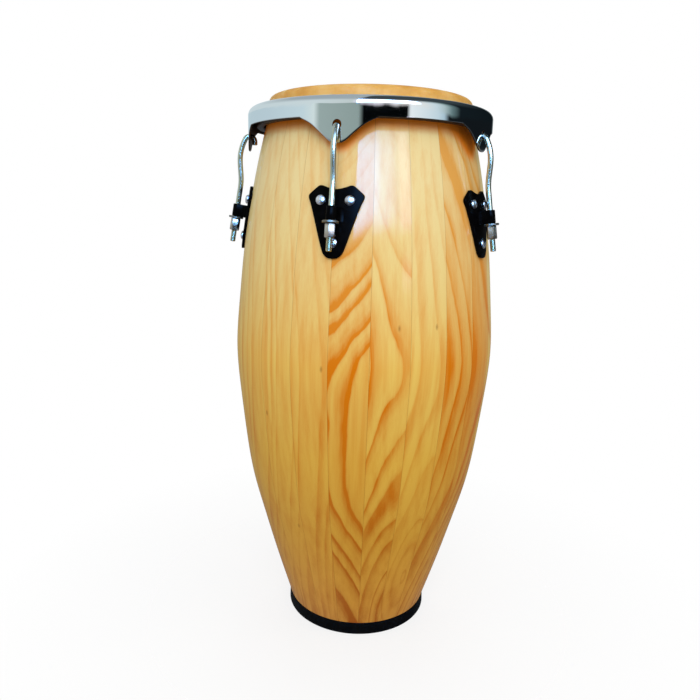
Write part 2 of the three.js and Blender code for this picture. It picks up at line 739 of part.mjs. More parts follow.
// J hook: a round rod swept along its centre line.
function hook(name, lug) {
  const place = lugPlace(lug);
  const path = hookPath();
  const points = [];
  path.forEach(([r, z, radius], i) => {
    const [beforeR, beforeZ] = path[Math.max(0, i - 1)];
    const [afterR, afterZ] = path[Math.min(path.length - 1, i + 1)];
    const length = Math.hypot(afterR - beforeR, afterZ - beforeZ);
    const squareR = (afterZ - beforeZ) / length;
    const squareZ = -(afterR - beforeR) / length;
    fullTurn(ROD_SIDES, Math.PI / ROD_SIDES).forEach((turn) => {
      const away = radius * Math.cos(turn);
      points.push(place(radius * Math.sin(turn), r + away * squareR, z + away * squareZ));
    });
  });
  const triangles = [];
  for (let i = 0; i + 1 < path.length; i++) {
    for (let j = 0; j < ROD_SIDES; j++) {
      const k = (j + 1) % ROD_SIDES;
      const row = i * ROD_SIDES;
      addQuad(triangles, row + j, row + k, row + ROD_SIDES + k, row + ROD_SIDES + j);
    }
  }
  const end = (path.length - 1) * ROD_SIDES;
  for (let j = 1; j + 1 < ROD_SIDES; j++) {
    triangles.push(0, j + 1, j);
    triangles.push(end, end + j, end + j + 1);
  }
  return piece(name, solidFrom(points, triangles), chrome);
}

const conga = new THREE.Group();
conga.name = "conga";
const spotsOfLugs = lugAngles.map(boltSpots);
const cutters = spotsOfLugs.flat().map(boltCutter);
for (let i = 0; i < STAVE_COUNT; i++) conga.add(stave(i, cutters));
conga.add(bottomRing(), fleshHoop(), headSkin(), rim());
lugAngles.forEach((lug, k) => {
  const number = k + 1;
  const spots = spotsOfLugs[k];
  conga.add(sidePlate("side_plate_" + number, lug, spots));
  conga.add(hook("hook_" + number, lug));
  conga.add(washer("washer_" + number, lug));
  conga.add(tuningNut("tuning_nut_" + number, lug));
  spots.forEach((spot) => {
    conga.add(plateBolt("plate_bolt_" + number + spot.letter, spot));
  });
});

export default conga;
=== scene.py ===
# %% [markdown]
# # A conga drum in Blender
# A conga is a tall barrel of glued wooden staves. A chromed rim stretches a skin over its top,
# five hooks pull the rim down, and a nut under each side plate sets the tension.
# The imported model comes first. It is the frame: every piece below is worked out in the same
# place and at the same size, and all but the skin ride on one of the model's bodies.

# %% Load the imported model
import math
from functools import partial

import bpy
import numpy as np
from mathutils import Matrix, Vector


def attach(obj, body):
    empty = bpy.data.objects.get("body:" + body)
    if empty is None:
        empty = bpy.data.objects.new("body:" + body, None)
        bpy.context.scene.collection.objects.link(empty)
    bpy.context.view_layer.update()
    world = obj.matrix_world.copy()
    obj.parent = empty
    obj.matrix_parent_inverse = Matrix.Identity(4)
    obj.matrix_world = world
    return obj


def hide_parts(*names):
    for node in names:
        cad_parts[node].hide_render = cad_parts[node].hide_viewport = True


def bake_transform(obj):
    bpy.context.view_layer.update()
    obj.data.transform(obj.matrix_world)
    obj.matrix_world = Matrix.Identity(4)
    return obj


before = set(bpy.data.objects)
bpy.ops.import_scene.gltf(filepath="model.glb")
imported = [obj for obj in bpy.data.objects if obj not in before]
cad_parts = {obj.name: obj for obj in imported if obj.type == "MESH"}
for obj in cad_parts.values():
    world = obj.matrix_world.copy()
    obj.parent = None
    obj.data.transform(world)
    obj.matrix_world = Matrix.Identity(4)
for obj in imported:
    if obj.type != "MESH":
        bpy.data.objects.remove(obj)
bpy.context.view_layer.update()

# %% [markdown]
# ## Camera
# The camera could be placed by eye. It was fitted to the drum's outline in the photograph
# instead, as a pinhole camera, because then the rim's ellipse and the foot's curve agree too.
# It stands almost a metre away, lower than the skin, and looks slightly down.
# Shapes are in millimetres, and one factor turns them to Blender's metres. Heights in the
# materials, the lights and the studio wall are in metres.

# %% Camera
MM = 0.001
CAMERA_DISTANCE = 964.2
CAMERA_HEIGHT = 615.3
CAMERA_YAW, CAMERA_PITCH, CAMERA_ROLL = map(math.radians, (-1.19, 12.19, 1.48))
CAMERA_LENS = 33.63
FRONT_LUG = math.radians(243)
CAMERA_AZIMUTH = FRONT_LUG + math.radians(13.26)


def new_object(name, data):
    """An object that is linked to the scene."""
    thing = bpy.data.objects.new(name, data)
    bpy.context.scene.collection.objects.link(thing)
    return thing


def make_camera():
    """Its pose is azimuth @ place @ yaw @ pitch @ roll, and it starts by looking down."""
    camera = new_object("camera", bpy.data.cameras.new("camera"))
    camera.data.lens = CAMERA_LENS
    camera.data.clip_start = 0.01
    camera.matrix_world = (
        Matrix.Rotation(CAMERA_AZIMUTH - math.radians(270), 4, "Z")
        @ Matrix.Translation(Vector((0, -CAMERA_DISTANCE, CAMERA_HEIGHT)) * MM)
        @ Matrix.Rotation(-CAMERA_YAW, 4, "Z")
        @ Matrix.Rotation(math.radians(90) - CAMERA_PITCH, 4, "X")
        @ Matrix.Rotation(CAMERA_ROLL, 4, "Z")
    )
    bpy.context.scene.camera = camera
    return camera


camera = make_camera()
print("camera at", [round(v, 3) for v in camera.matrix_world.translation])

# %% [markdown]
# ## Surfaces from numbers
# A piece could be shaped by hand or with modifiers. Here each is a numpy grid of points, because
# a formula keeps the real sizes, and can be read and changed. A grid's rows step along one
# parameter and its columns along the other. A few helpers turn a grid into a mesh, and shut its
# open ends.

# %% Mesh helpers
TURN = 2 * math.pi


def even_turn(count):
    """Angles at even steps round a whole turn."""
    return np.linspace(0, TURN, count, endpoint=False)


def grid_faces(rows, columns, close_rows, close_columns):
    """Quads between neighbouring grid points. Point (i, j) has number i * columns + j."""
    i = np.arange(rows if close_rows else rows - 1)[:, None]
    j = np.arange(columns if close_columns else columns - 1)[None, :]
    i_next, j_next = (i + 1) % rows, (j + 1) % columns
    corners = [(i, j), (i_next, j), (i_next, j_next), (i, j_next)]
    return np.stack([(row * columns + column).ravel() for row, column in corners], axis=1)


def outward(points, *groups):
    """Points and groups of faces, turned if the volume, the sum of a . (b x c) / 6, is negative."""
    points, volume = points.reshape(-1, 3), 0
    for faces in groups:
        for k in range(1, faces.shape[1] - 1):
            a, b, c = points[faces[:, 0]], points[faces[:, k]], points[faces[:, k + 1]]
            volume += np.einsum("ij,ij->i", a, np.cross(b, c)).sum()
    return (points, *(faces[:, ::-1] if volume < 0 else faces for faces in groups))


def closed_ring(grid):
    """A grid that closes both ways, such as a hoop."""
    return outward(grid, grid_faces(*grid.shape[:2], True, True))


def closed_tube(grid):
    """A grid whose rows are closed loops, with a fan of triangles to a middle point at each end."""
    rows, columns, _ = grid.shape
    j = np.arange(columns)
    k, last_row, middle = (j + 1) % columns, (rows - 1) * columns, np.full(columns, rows * columns)
    fans = np.concatenate([
        np.stack([middle, j, k], axis=1),
        np.stack([middle + 1, last_row + k, last_row + j], axis=1),
    ])
    ends = np.stack([grid[0].mean(axis=0), grid[-1].mean(axis=0)])
    points = np.concatenate([grid.reshape(-1, 3), ends])
    return outward(points, grid_faces(rows, columns, False, True), fans)


def make_mesh(name, parts, smooth_degrees):
    """One mesh from parts, each points (n, 3) in millimetres followed by arrays of faces."""
    points, faces, used = [], [], 0
    for part_points, *groups in parts:
        points.append(part_points * MM)
        for group in groups:
            faces += (group + used).tolist()
        used += len(part_points)
    mesh = bpy.data.meshes.new(name)
    mesh.from_pydata(np.concatenate(points).tolist(), [], faces)
    mesh.shade_smooth()
    mesh.set_sharp_from_angle(angle=math.radians(smooth_degrees))
    mesh.update()
    return mesh


def polar(radius, angle, height):
    """Points from the distance to the drum's axis, the angle about it and the height."""
    radius, angle, height = np.broadcast_arrays(radius, angle, height)
    return np.stack([radius * np.cos(angle), radius * np.sin(angle), height], axis=-1)


def circle(turn):
    """Points (cos, sin) at some angles."""
    return np.stack([np.cos(turn), np.sin(turn)], axis=1)


def arc(centre, radius, start, end, steps):
    """Points (radius, height) on a circle from one angle to another, in degrees."""
    return np.array(centre) + radius * circle(np.radians(np.linspace(start, end, steps)))


def add_piece(name, parts, material, body, node, smooth_degrees=35):
    """A piece made of parts: its material, its body and the CAD node it stands for."""
    piece = new_object(name, make_mesh(name, parts, smooth_degrees))
    piece.data.materials.append(material)
    if body:
        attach(piece, body)
    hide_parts(node)
    return piece


# %% [markdown]
# ## Colour and nodes
# Hex colours are what the eye sees, in sRGB, and the shader works with linear light, so one
# function turns them. Another adds a node to a tree. Each of its inputs gets a plain value, or a
# link where the value is a node or an output. Inputs in a list go in the order of the node's
# sockets: a map range has value, from low, from high, to low, to high, and a noise has place, w,
# scale, detail, roughness.

# %% Material helpers
def linear(colour):
    """Linear red, green, blue and alpha from an sRGB hex colour, or a plain grey from a number."""
    if not isinstance(colour, str):
        return [colour] * 3 + [1]
    parts = [int(colour[i : i + 2], 16) / 255 for i in (1, 3, 5)]
    return [p / 12.92 if p <= 0.04045 else ((p + 0.055) / 1.055) ** 2.4 for p in parts] + [1]


def set_inputs(node, inputs):
    """Set or link a node's inputs, from a dict by name or from a list in the sockets' order."""
    for key, value in inputs.items() if isinstance(inputs, dict) else enumerate(inputs):
        if isinstance(value, bpy.types.Node):
            value = next(output for output in value.outputs if output.enabled)
        if isinstance(value, bpy.types.NodeSocket):
            node.id_data.links.new(value, node.inputs[key])
        else:
            node.inputs[key].default_value = value


def add_node(tree, kind, inputs=(), stops=(), **settings):
    """A node of a kind, with its settings, inputs and, for a colour ramp, (place, colour) stops."""
    node = tree.nodes.new("ShaderNode" + kind)
    for key, value in settings.items():
        setattr(node, key, value)
    set_inputs(node, inputs)
    for k, (place, colour) in enumerate(stops):
        element = node.color_ramp.elements[k] if k < 2 else node.color_ramp.elements.new(1)
        element.position, element.color = place, linear(colour)
    return node


def new_material(name, **values):
    """A material, its shader with values set, add_node for its own tree, and the place."""
    material = bpy.data.materials.new(name)
    material.use_nodes = True
    add = partial(add_node, material.node_tree)
    shader = material.node_tree.nodes["Principled BSDF"]
    set_inputs(shader, {key.replace("_", " "): value for key, value in values.items()})
    return material, shader, add, add("TexCoord").outputs["Object"]


# %% [markdown]
# ## The drum's outline
# The shell's outer radius was measured at both edges of the drum in the photograph. Straight
# lines between these levels would show as bands in the lacquer's shine, so a natural cubic
# spline makes the outline smooth. Everything else hangs on it.

# %% Outline of the shell
SHELL_WALL = 11.5
HEAD_Z = 762
SHELL_LEVELS = np.array([
    (0, 99.93), (45, 113.98), (105, 132.27), (165, 149.17), (225, 164.77), (290, 175.01),
    (355, 182.53), (420, 187), (485, 182.87), (550, 176.62), (620, 166.47), (690, 152.72),
    (745, 140.19), (752, 138.9),
])


def natural_spline(x, y):
    """Cubic pieces with matching slopes and bends: solve for each knot's second derivative m."""
    step = np.diff(x)
    n = len(x)
    system, right = np.eye(n), np.zeros(n)
    for i in range(1, n - 1):
        system[i, i - 1 : i + 2] = step[i - 1], 2 * (step[i - 1] + step[i]), step[i]
        right[i] = 6 * ((y[i + 1] - y[i]) / step[i] - (y[i] - y[i - 1]) / step[i - 1])
    m = np.linalg.solve(system, right)

    def value(at):
        at = np.asarray(at, float)
        i = np.clip(np.searchsorted(x, at) - 1, 0, n - 2)
        h, a, b = step[i], x[i + 1] - at, at - x[i]
        cubic = (m[i] * a**3 + m[i + 1] * b**3) / (6 * h)
        return cubic + (y[i] / h - m[i] * h / 6) * a + (y[i + 1] / h - m[i + 1] * h / 6) * b

    return value


shell_radius = natural_spline(*SHELL_LEVELS.T)
print("widest radius", round(float(shell_radius(np.linspace(0, 752, 753)).max()), 1), "mm")

# %% The rim's lower end
RIM_RADIUS = 168.97
SKIRT_END = 720
LOBE_DROP = 30
LOBE_HALF = 46
LUG_COUNT = 5
LOBE_EDGE = np.array([(0, 1), (0.18, 0.97), (0.45, 0.6), (0.74, 0.24), (0.97, 0.07), (1.1, 0)])
lugs = FRONT_LUG + np.arange(LUG_COUNT) * TURN / LUG_COUNT


def skirt_end(across):
    """Height of the skirt's end: the lobe's corner points, rounded by averaging over 8 mm."""
    spots = across[..., None] + np.linspace(-4, 4, 9)
    share = np.interp(np.abs(spots) / LOBE_HALF, *LOBE_EDGE.T)
    return SKIRT_END - LOBE_DROP * share.mean(axis=-1)


# %% [markdown]
# ## Lacquered softwood
# The staves are pine or a wood like it, sawn from a log, bent, glued, turned to a barrel and
# lacquered until they shine. A noise drawn out along the drum would give plain streaks. The bold
# pointed figure comes from the growth rings: each stave is a flat board, and the barrel's curve
# cuts down through its rings. So the colour is worked out as in a real log. Every point of a
# stave knows where it lay in the log, and its distance from the log's heart, over the width of a
# ring, says which ring it is in and how far through it.

# %% Growth rings
# How dark the wood is through a ring: pale at first, then darkening to a sharp end.
RING_STOPS = [
    (0, 0.3), (0.07, 0.05), (0.25, 0), (0.5, 0.16), (0.72, 0.5), (0.86, 0.85), (0.94, 1),
    (1, 0.3),
]


def growth_rings(add, place, ring_width):
    """How dark the ring is at a point: the stops at fract(distance from the heart / ring width).

    The log's rings sway by a few millimetres, and some years are wider than others.
    """
    slow = add("VectorMath", (place, (0.016, 0.016, 0.005)), operation="MULTIPLY")
    sway = add("TexNoise", (slow, 0, 1, 4)).outputs["Color"]
    across = add("VectorMath", (place, (1, 1, 0)), operation="MULTIPLY")
    swayed = add("VectorMath", (sway, (9, 9, 0), across), operation="MULTIPLY_ADD")
    from_heart = add("VectorMath", (swayed,), operation="LENGTH")
    years = add("TexNoise", {"W": from_heart, "Scale": 0.05, "Detail": 1}, noise_dimensions="1D")
    rings = add("Math", (from_heart, ring_width), operation="DIVIDE")
    rings = add("Math", (years, 2.4, rings), operation="MULTIPLY_ADD")
    ramp = add("ValToRGB", (add("Math", (rings,), operation="FRACT"),), RING_STOPS)
    ramp.color_ramp.interpolation = "EASE"
    return ramp


# %% Streaks and fibres
# Size across and along the grain in mm, range in the noise, and the least and most darkening.
# Streaks are about a centimetre wide. Fibres are drawn coarser than real ones.
STREAKS = [(9, 300, 0.42, 0.75, -0.04, 0.3), (1.1, 60, 0.35, 0.7, -0.05, 0.07)]


def grain(add, place, across, along, detail=3):
    """Noise drawn out along the log. across and along are the size of its features."""
    drawn = add("VectorMath", (place, (1 / across, 1 / across, 1 / along)), operation="MULTIPLY")
    return add("TexNoise", (drawn, 0, 1, detail))


def wood_darkness(add, place, ring_width, figure, amber):
    """From 0, the palest wood, to 1, the darkest: rings * figure + amber + streaks + fibres."""
    rings = growth_rings(add, place, ring_width)
    bold = add("MapRange", (grain(add, place, 50, 200, 2), 0.3, 0.6, 0.55, 1.1))
    bold = add("Math", (bold, figure), operation="MULTIPLY")
    dark = add("Math", (rings, bold, amber), operation="MULTIPLY_ADD")
    for across, along, *slope in STREAKS:
        streak = add("MapRange", (grain(add, place, across, along), *slope))
        dark = add("Math", (dark, streak), operation="ADD")
    return add("Clamp", (dark,))


# %% Pin knots and glue lines
KNOTS = [(-44, 346), (13.6, 474), (29.6, 474), (-16, 420), (-32, 184)]  # angle from camera, height


def wood_marks(add, position, seam):
    """The strongest of: a spot at each knot, and a line along each glued seam. 0 is no mark."""
    mark = add("MapRange", (seam, 0.1, 0.5, 0.3, 0))
    for angle, z in KNOTS:
        spot = polar(shell_radius(z), CAMERA_AZIMUTH + math.radians(angle), z) * MM
        away = add("VectorMath", (position, spot.tolist()), operation="SUBTRACT")
        oval = add("VectorMath", (away, (1000, 1000, 450)), operation="MULTIPLY")
        size = add("VectorMath", (oval,), operation="LENGTH")
        knot = add("MapRange", (size, 0.4, 2.4, 0.5, 0))
        mark = add("Math", (mark, knot), operation="MAXIMUM")
    return mark


# %% Wood material
# Colours from the foot (0) to the rim (1): paler towards the rim and deeper towards the foot.
# This paints light from above and shade low on the drum.
WOOD = [  # place, early wood, late wood
    (0, "#C0883E", "#985420"), (0.08, "#C68E3A", "#A25C1E"), (0.24, "#CE9A3A", "#B4681A"),
    (0.4, "#DCAE48", "#C67014"), (0.57, "#E9C262", "#D8780E"), (0.72, "#ECD086", "#E09030"),
    (0.88, "#ECD69A", "#E2A450"), (1, "#EAD296", "#DA9A4C"),
]


def make_wood():
    """Softwood under clear lacquer: its colour, with painted light and shade, is in the wood, and
    its shine is in the coat.
    """
    material, shader, add, position = new_material(
        "lacquered pine", Roughness=0.5, Specular_IOR_Level=0, Coat_Weight=0.4,
        Coat_Roughness=0.03, Coat_IOR=1.45,
    )
    place, board, edges = (
        add("Attribute", attribute_name=name).outputs["Vector"]
        for name in ("log_place", "board", "edges")
    )
    ring_width, figure, amber = add("SeparateXYZ", (board,)).outputs
    seam, under_rim, at_rim = add("SeparateXYZ", (edges,)).outputs
    height = add("SeparateXYZ", (position,)).outputs["Z"]

    # On some boards the figure is faint towards the rim, which paints the highlight that washes it
    # out there.
    faint = add("MapRange", (height, 0.51, 0.64, 1, at_rim))
    figure = add("Math", (figure, faint), operation="MULTIPLY")
    # The amber boards are no darker than the others towards the foot.
    warm = add("MapRange", (height, 0.08, 0.34, 0.1, 1))
    amber = add("Math", (amber, warm), operation="MULTIPLY")
    dark = wood_darkness(add, place, ring_width, figure, amber)
    # The colour by height paints light from above and shade low on the drum.
    up = add("MapRange", (height, 0, 0.74))
    early, late = (add("ValToRGB", (up,), [(row[0], row[k]) for row in WOOD]) for k in (1, 2))
    colour = add("Mix", {"Factor": dark, "A": early, "B": late}, data_type="RGBA")
    # The wood just below the rim's skirt is painted a deep orange, a painted shadow of the rim.
    shade = add("MapRange", (under_rim, -1, 16, 0.95, 0), interpolation_type="SMOOTHSTEP")
    for share, tone in ((shade, "#FF8A1C"), (wood_marks(add, position, seam), "#7A4718")):
        colour = add("Mix", {"Factor": share, "A": colour, "B": linear(tone)}, data_type="RGBA")
    fibres = grain(add, place, 1.1, 60)
    fibre = add("Bump", {"Strength": 0.15, "Distance": 0.0002, "Height": fibres})
    # The lacquer lies over the fibres in a nearly flat film that swells over some centimetres.
    swell = grain(add, position, 0.017, 0.08, 1)
    film = add("Bump", {"Strength": 0.1, "Distance": 0.0004, "Height": swell})
    set_inputs(shader, {"Base Color": colour, "Normal": fibre, "Coat Normal": film})
    return material


wood = make_wood()
print("wood nodes:", len(wood.node_tree.nodes))

# %% [markdown]
# ## Staves
# Six staves of one width face the camera, and fifteen share the rest of the turn. The barrel
# could be one turned shape with lines drawn on it, but separate staves have real seams, and each
# has a grain of its own. Each is a closed strip: at each level a loop goes along the outer face
# and back along the inner one. The foot is cut back for the rubber ring, and the top is the
# rounded bearing edge that the skin lies on.

# %% Staves
STAVE_COUNT = 21
FRONT_STAVES = 6
FRONT_STEP = math.radians(16)
FIRST_SEAM = math.radians(210.7)
GLUE_GAP = 0.05
STAVE_COLUMNS = 9
STAVE_MIDDLE = 365  # the height where a board's heart is measured
BELLY_RADIUS = float(shell_radius(420))
# The front boards, left to right, and the next one: where the log's heart lies across it and how
# deep, the ring width, how much the log leans out and turns across, how bold the figure is, how
# amber the wood is, and how much of the boldness is left at the rim.
FRONT_BOARDS = [
    (99, 112, 15, 0, -0.013, 0.4, 0.02, 0.8), (80, 70, 14, 0.03, -0.02, 0.45, 0.14, 0.7),
    (-29, 128, 8.6, 0.107, 0.02, 1.5, 0.2, 0.12), (28, 78, 11, -0.017, -0.012, 0.8, 0.06, 0.12),
    (30, 50, 11, 0.009, 0.06, 0.45, -0.06, 0.5), (60, 110, 13, 0, -0.03, 0.65, 0.36, 1.1),
    (40, 90, 12, 0, -0.02, 0.6, 0.5, 1.1),
]
BACK_BOLD_AT_RIM = 0.4
randoms = np.random.default_rng(7)


def stave_span(index):
    """The stave's first seam and its width, as angles."""
    back_step = (TURN - FRONT_STAVES * FRONT_STEP) / (STAVE_COUNT - FRONT_STAVES)
    back = max(0, index - FRONT_STAVES)
    step = FRONT_STEP if index < FRONT_STAVES else back_step
    return FIRST_SEAM + (index - back) * FRONT_STEP + back * back_step, step


def stave_levels():
    """Rows of outer radius, outer height, inner radius and inner height, from foot to crest."""
    foot = [(102.2, 3.3, 90.7, 3.3), (102.2, 18.3, 94, 18.3)]
    z = np.concatenate([[18.3], np.linspace(22, 722, 141), np.linspace(726, 750, 7)])
    radius, inner_z = shell_radius(z), z - 4.2 * np.maximum(0, (z - 722) / 28)
    edge = [
        (138.9, 752, 127.6, 747.6), (138.4, 754.4, 128, 749.3), (137.2, 757.2, 128.9, 754),
        (135.6, 758.9, 129.4, 757), (133.5, 759.7, 130.9, 759.3),
    ]
    return np.concatenate([foot, np.stack([radius, z, radius - SHELL_WALL, inner_z], axis=1), edge])


def make_stave(index):
    """Points at (radius, angle, height), with the seam faces moved in by half a glue gap."""
    start, step = stave_span(index)
    levels = stave_levels()
    shares = np.linspace(0, 1, STAVE_COLUMNS)
    shares = np.concatenate([shares, shares[::-1]])
    radius, height = (np.repeat(levels[:, [k, k + 2]], STAVE_COLUMNS, axis=1) for k in (0, 1))
    gap = GLUE_GAP / 2 * (1 - 2 * shares) / radius
    grid = polar(radius, start + shares * step + gap, height)
    rows, columns, _ = grid.shape
    j = np.arange(STAVE_COLUMNS - 1)
    foot_end = np.stack([j, j + 1, columns - 2 - j, columns - 1 - j], axis=1)
    ends = np.concatenate([foot_end, foot_end[:, ::-1] + (rows - 1) * columns])
    strip = outward(grid, grid_faces(rows, columns, False, True), ends)
    node, points = f"stave_{index + 1:02d}", strip[0]
    stave = add_piece(node + "_wood", [strip], wood, "shell", node, 30)

    # Each point's place in the log: across the board, below the heart, and along the grain.
    middle = start + step / 2
    out = np.array([math.cos(middle), math.sin(middle), 0])
    side = np.array([-math.sin(middle), math.cos(middle), 0])
    if index < len(FRONT_BOARDS):
        heart, depth, ring, lean, twist, figure, amber, at_rim = FRONT_BOARDS[index]
    else:
        heart, depth, ring = randoms.uniform((-80, 70, 9), (80, 130, 15))
        lean, twist, figure, amber = randoms.uniform(
            (-0.02, -0.03, 0.4, -0.1), (0.1, 0.03, 0.9, 0.3)
        )
        at_rim = BACK_BOLD_AT_RIM
    height = points[:, 2] - STAVE_MIDDLE
    log = np.stack([
        points @ side - heart - twist * height,
        depth + (points @ out - BELLY_RADIUS) - lean * height,
        points[:, 2] + 1000 * index,
    ], axis=1)
    # How far it is from a seam, and how far below the rim's skirt, where the wood's painted shadow
    # of the rim lies.
    loop = np.tile(shares, rows)
    seam = np.minimum(loop, 1 - loop) * step * np.hypot(points[:, 0], points[:, 1])
    lug_turn = TURN / LUG_COUNT
    from_lug = (start + loop * step - FRONT_LUG + lug_turn / 2) % lug_turn - lug_turn / 2
    under_rim = skirt_end(from_lug * RIM_RADIUS) - points[:, 2]
    board = np.tile([ring, figure, amber], (len(points), 1))
    edges = np.stack([seam, under_rim, np.full(len(seam), at_rim)], axis=1)
    for name, values in (("log_place", log), ("board", board), ("edges", edges)):
        attribute = stave.data.attributes.new(name, "FLOAT_VECTOR", "POINT")
        attribute.data.foreach_set("vector", values.ravel())
    return stave


staves = [make_stave(index) for index in range(STAVE_COUNT)]
print("staves:", len(staves), "with", len(staves[0].data.polygons), "faces each")

# %% [markdown]
# ## Foot ring, skin and hoop
# These are round, so they are turned shapes: a section of (radius, height) points swept round
# the drum's axis. The rubber ring is an L that the staves stand in. The skin runs from the
# middle over the bearing edge, down the collar and round a steel hoop, and back under itself. It
# needs no cloth simulation, because rawhide under tension is stiff and smooth.

# %% Rubber, hide and metal
def make_black(name, roughness, specular, clouds, stops, grit, strength, distance):
    """Mottled black over a fine bumpy surface. clouds and grit are each (scale, detail)."""
    material, shader, add, position = new_material(
        name, Roughness=roughness, Specular_IOR_Level=specular
    )
    fine, wide = (
        add("TexNoise", (position, 0, scale, detail))
        for scale, detail in (grit, clouds)
    )
    bump = add("Bump", {"Strength": strength, "Distance": distance, "Height": fine})
    set_inputs(shader, {"Base Color": add("ValToRGB", (wide,), stops), "Normal": bump})
    return material


def make_hide():
    """Stretched hide: amber with pale and dark clouds and fine pores, painted dark where it goes
    under the rim, as painted shade.
    """
    material, shader, add, position = new_material(
        "stretched hide", Roughness=0.5, Specular_IOR_Level=0.3,
        Subsurface_Weight=0.15, Subsurface_Scale=0.003, Subsurface_Radius=(1, 0.5, 0.25),
    )
    cloud = add("TexNoise", (position, 0, 30, 4, 0.6))
    pores = add("TexNoise", (position, 0, 1100, 2))
    colour = add("ValToRGB", (cloud,), [(0.3, "#CF9138"), (0.5, "#DFA64C"), (0.72, "#EBBF72")])
    height = add("SeparateXYZ", (position,)).outputs["Z"]
    # Below the rim's lip the hide is painted dark brown, a painted shade under the rim.
    hide_painted_shade = add("MapRange", (height, 0.733, 0.742, 1, 0))
    colour = add("Mix", {"Factor": hide_painted_shade, "A": colour, "B": linear("#2E1B0C")}, data_type="RGBA")
    uneven = add("Math", (cloud, 3, pores), operation="MULTIPLY_ADD")
    bump = add("Bump", {"Strength": 0.3, "Distance": 0.0004, "Height": uneven})
    set_inputs(shader, {"Base Color": colour, "Normal": bump})
    return material


def make_metal(name, colour, roughness, scratch, spread):
    """Bare or plated metal, with marks that vary how sharply it reflects.

    They are about 1 / scratch metres wide, which is coarser than real ones, so that they show.
    """
    material, shader, add, position = new_material(name, Metallic=1, Base_Color=linear(colour))
    marks = add("TexNoise", (position, 0, scratch, 4, 0.6))
    rough = add("MapRange", (marks, 0.35, 0.7, roughness, roughness + spread))
    set_inputs(shader, {"Roughness": rough})
    return material


# Moulded rubber is matt and hardly shines. Rawhide glows a little, because light goes into it.
# Chrome plate is a clear mirror. On the hooks it is worn and warmer, and on the bolts satin.
# Inside the rim the steel is a dull dark brown, a painted shade under the rim. Zinc is pale
# and soft, and plain steel is darker still.
rubber = make_black(
    "black rubber", 0.62, 0.06, (50, 3), [(0.4, "#060606"), (0.75, "#0E0D0D")], (900, 4),
    0.3, 0.0003,
)
hide = make_hide()
chrome = make_metal("chrome plate", "#ECEFF0", 0.01, 300, 0.02)
worn_chrome = make_metal("worn chrome plate on the hooks", "#C8C9B4", 0.21, 300, 0.06)
satin_chrome = make_metal("satin chrome plate", "#EEE6E4", 0.28, 500, 0.1)
rim_inside_painted_shade = make_metal("dark steel inside the rim as painted shade", "#4A4038", 0.45, 200, 0.25)
zinc = make_metal("zinc plated steel", "#CCBFAE", 0.28, 700, 0.1)
hoop_steel = make_metal("plain steel", "#8C8272", 0.4, 500, 0.2)
print("materials so far:", len(bpy.data.materials))

# %% Foot ring, skin and hoop
ROUND_STEPS = 192
SKIN = 1.9
around = even_turn(ROUND_STEPS)


def turned(section):
    """A section of (radius, height) points swept round the axis. Rows are section points."""
    section = np.array(section, float)
    return polar(section[:, :1], around[None, :], section[:, 1:])


foot_section = np.concatenate([
    [(92.4, 0), (98, 0), (104.5, 0)], arc((105.3, 1.7), 1.7, -90, 0, 6),
    [(106.85, 6), (106.6, 12)], arc((105.2, 17.1), 0.9, 0, 90, 5),
    arc((103.4, 17.1), 0.9, 90, 180, 4), [(102.5, 10), (102.5, 3), (96, 3), (91.5, 3)],
    arc((91.7, 1.5), 1, 150, 260, 5),
])
hoop_section = np.concatenate([
    arc((155.07, 724), 1, -90, 0, 5), arc((155.07, 730), 1, 0, 90, 5),
    arc((150.57, 730), 1, 90, 180, 5), arc((150.57, 724), 1, 180, 270, 5),
])
# The skin: from the middle of the top, over the shell's edge and down the collar,
skin_section = np.concatenate([
    [(r, HEAD_Z) for r in (1, 30, 60, 90, 115, 127)],
    [(131.5, 761.95), (134.5, 761.6), (137, 760.6), (138.9, 759), (140.1, 756.8), (140.9, 754)],
    [(141.5, 751), (142.5, 745), (144, 741), (146, 737), (147.6, 733.6)],
    # inside the fold round the hoop, with its tucked end,
    [(148.95, 731.2), (149.25, 729.5), (149.25, 724)],
    arc((150.6, 723.7), 1.35, 180, 270, 5), arc((155, 723.7), 1.35, 270, 360, 5),
    [(156.36, 727)], arc((155.3, 730.3), 1.05, 0, 90, 4),
    [(152.6, 731.35), (152.3, 732.2), (152.6, 733.1)],
    # outside the fold, and back to the middle below.
    arc((155.9, 730.8), 2.37, 90, 0, 6), [(158.27, 727)],
    arc((155.9, 723.2), 2.37, 0, -90, 6), arc((149.6, 723), 2.2, 270, 180, 6),
    [(147.4, 728), (147.3, 730.6), (145.6, 733.5), (143.6, 737), (141.6, 741), (140.6, 745)],
    [(139.5, 751), (138.9, 754.4), (137.7, 757.4), (136, 759.2), (133.8, 760.05), (130, 760.1)],
    [(r, HEAD_Z - SKIN) for r in (115, 90, 60, 30, 1)],
])
foot_parts, hoop_parts = ([closed_ring(turned(s))] for s in (foot_section, hoop_section))
skin_parts = [closed_tube(turned(skin_section))]
add_piece("foot_ring_rubber", foot_parts, rubber, "shell", "bottom_ring", 40)
add_piece("flesh_hoop_steel", hoop_parts, hoop_steel, "rim", "flesh_hoop", 40)
head = add_piece("drum_skin", skin_parts, hide, None, "head_skin", 50)
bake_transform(head)
print("skin points:", len(head.data.vertices))

# %% [markdown]
# ## Rim
# The rim is one sheet of steel: a skirt with a lobe and a hook hole at each lug, a rolled
# shoulder, a flat top and a lip that presses on the hoop. A boolean could cut the holes, but it
# leaves uneven faces, which chrome shows as dents. So the sheet is a grid that closes both ways,
# a block of its cells is left out at each hole, and the points round it are moved from squares
# to ovals: a point whose largest coordinate is m moves to the distance m.

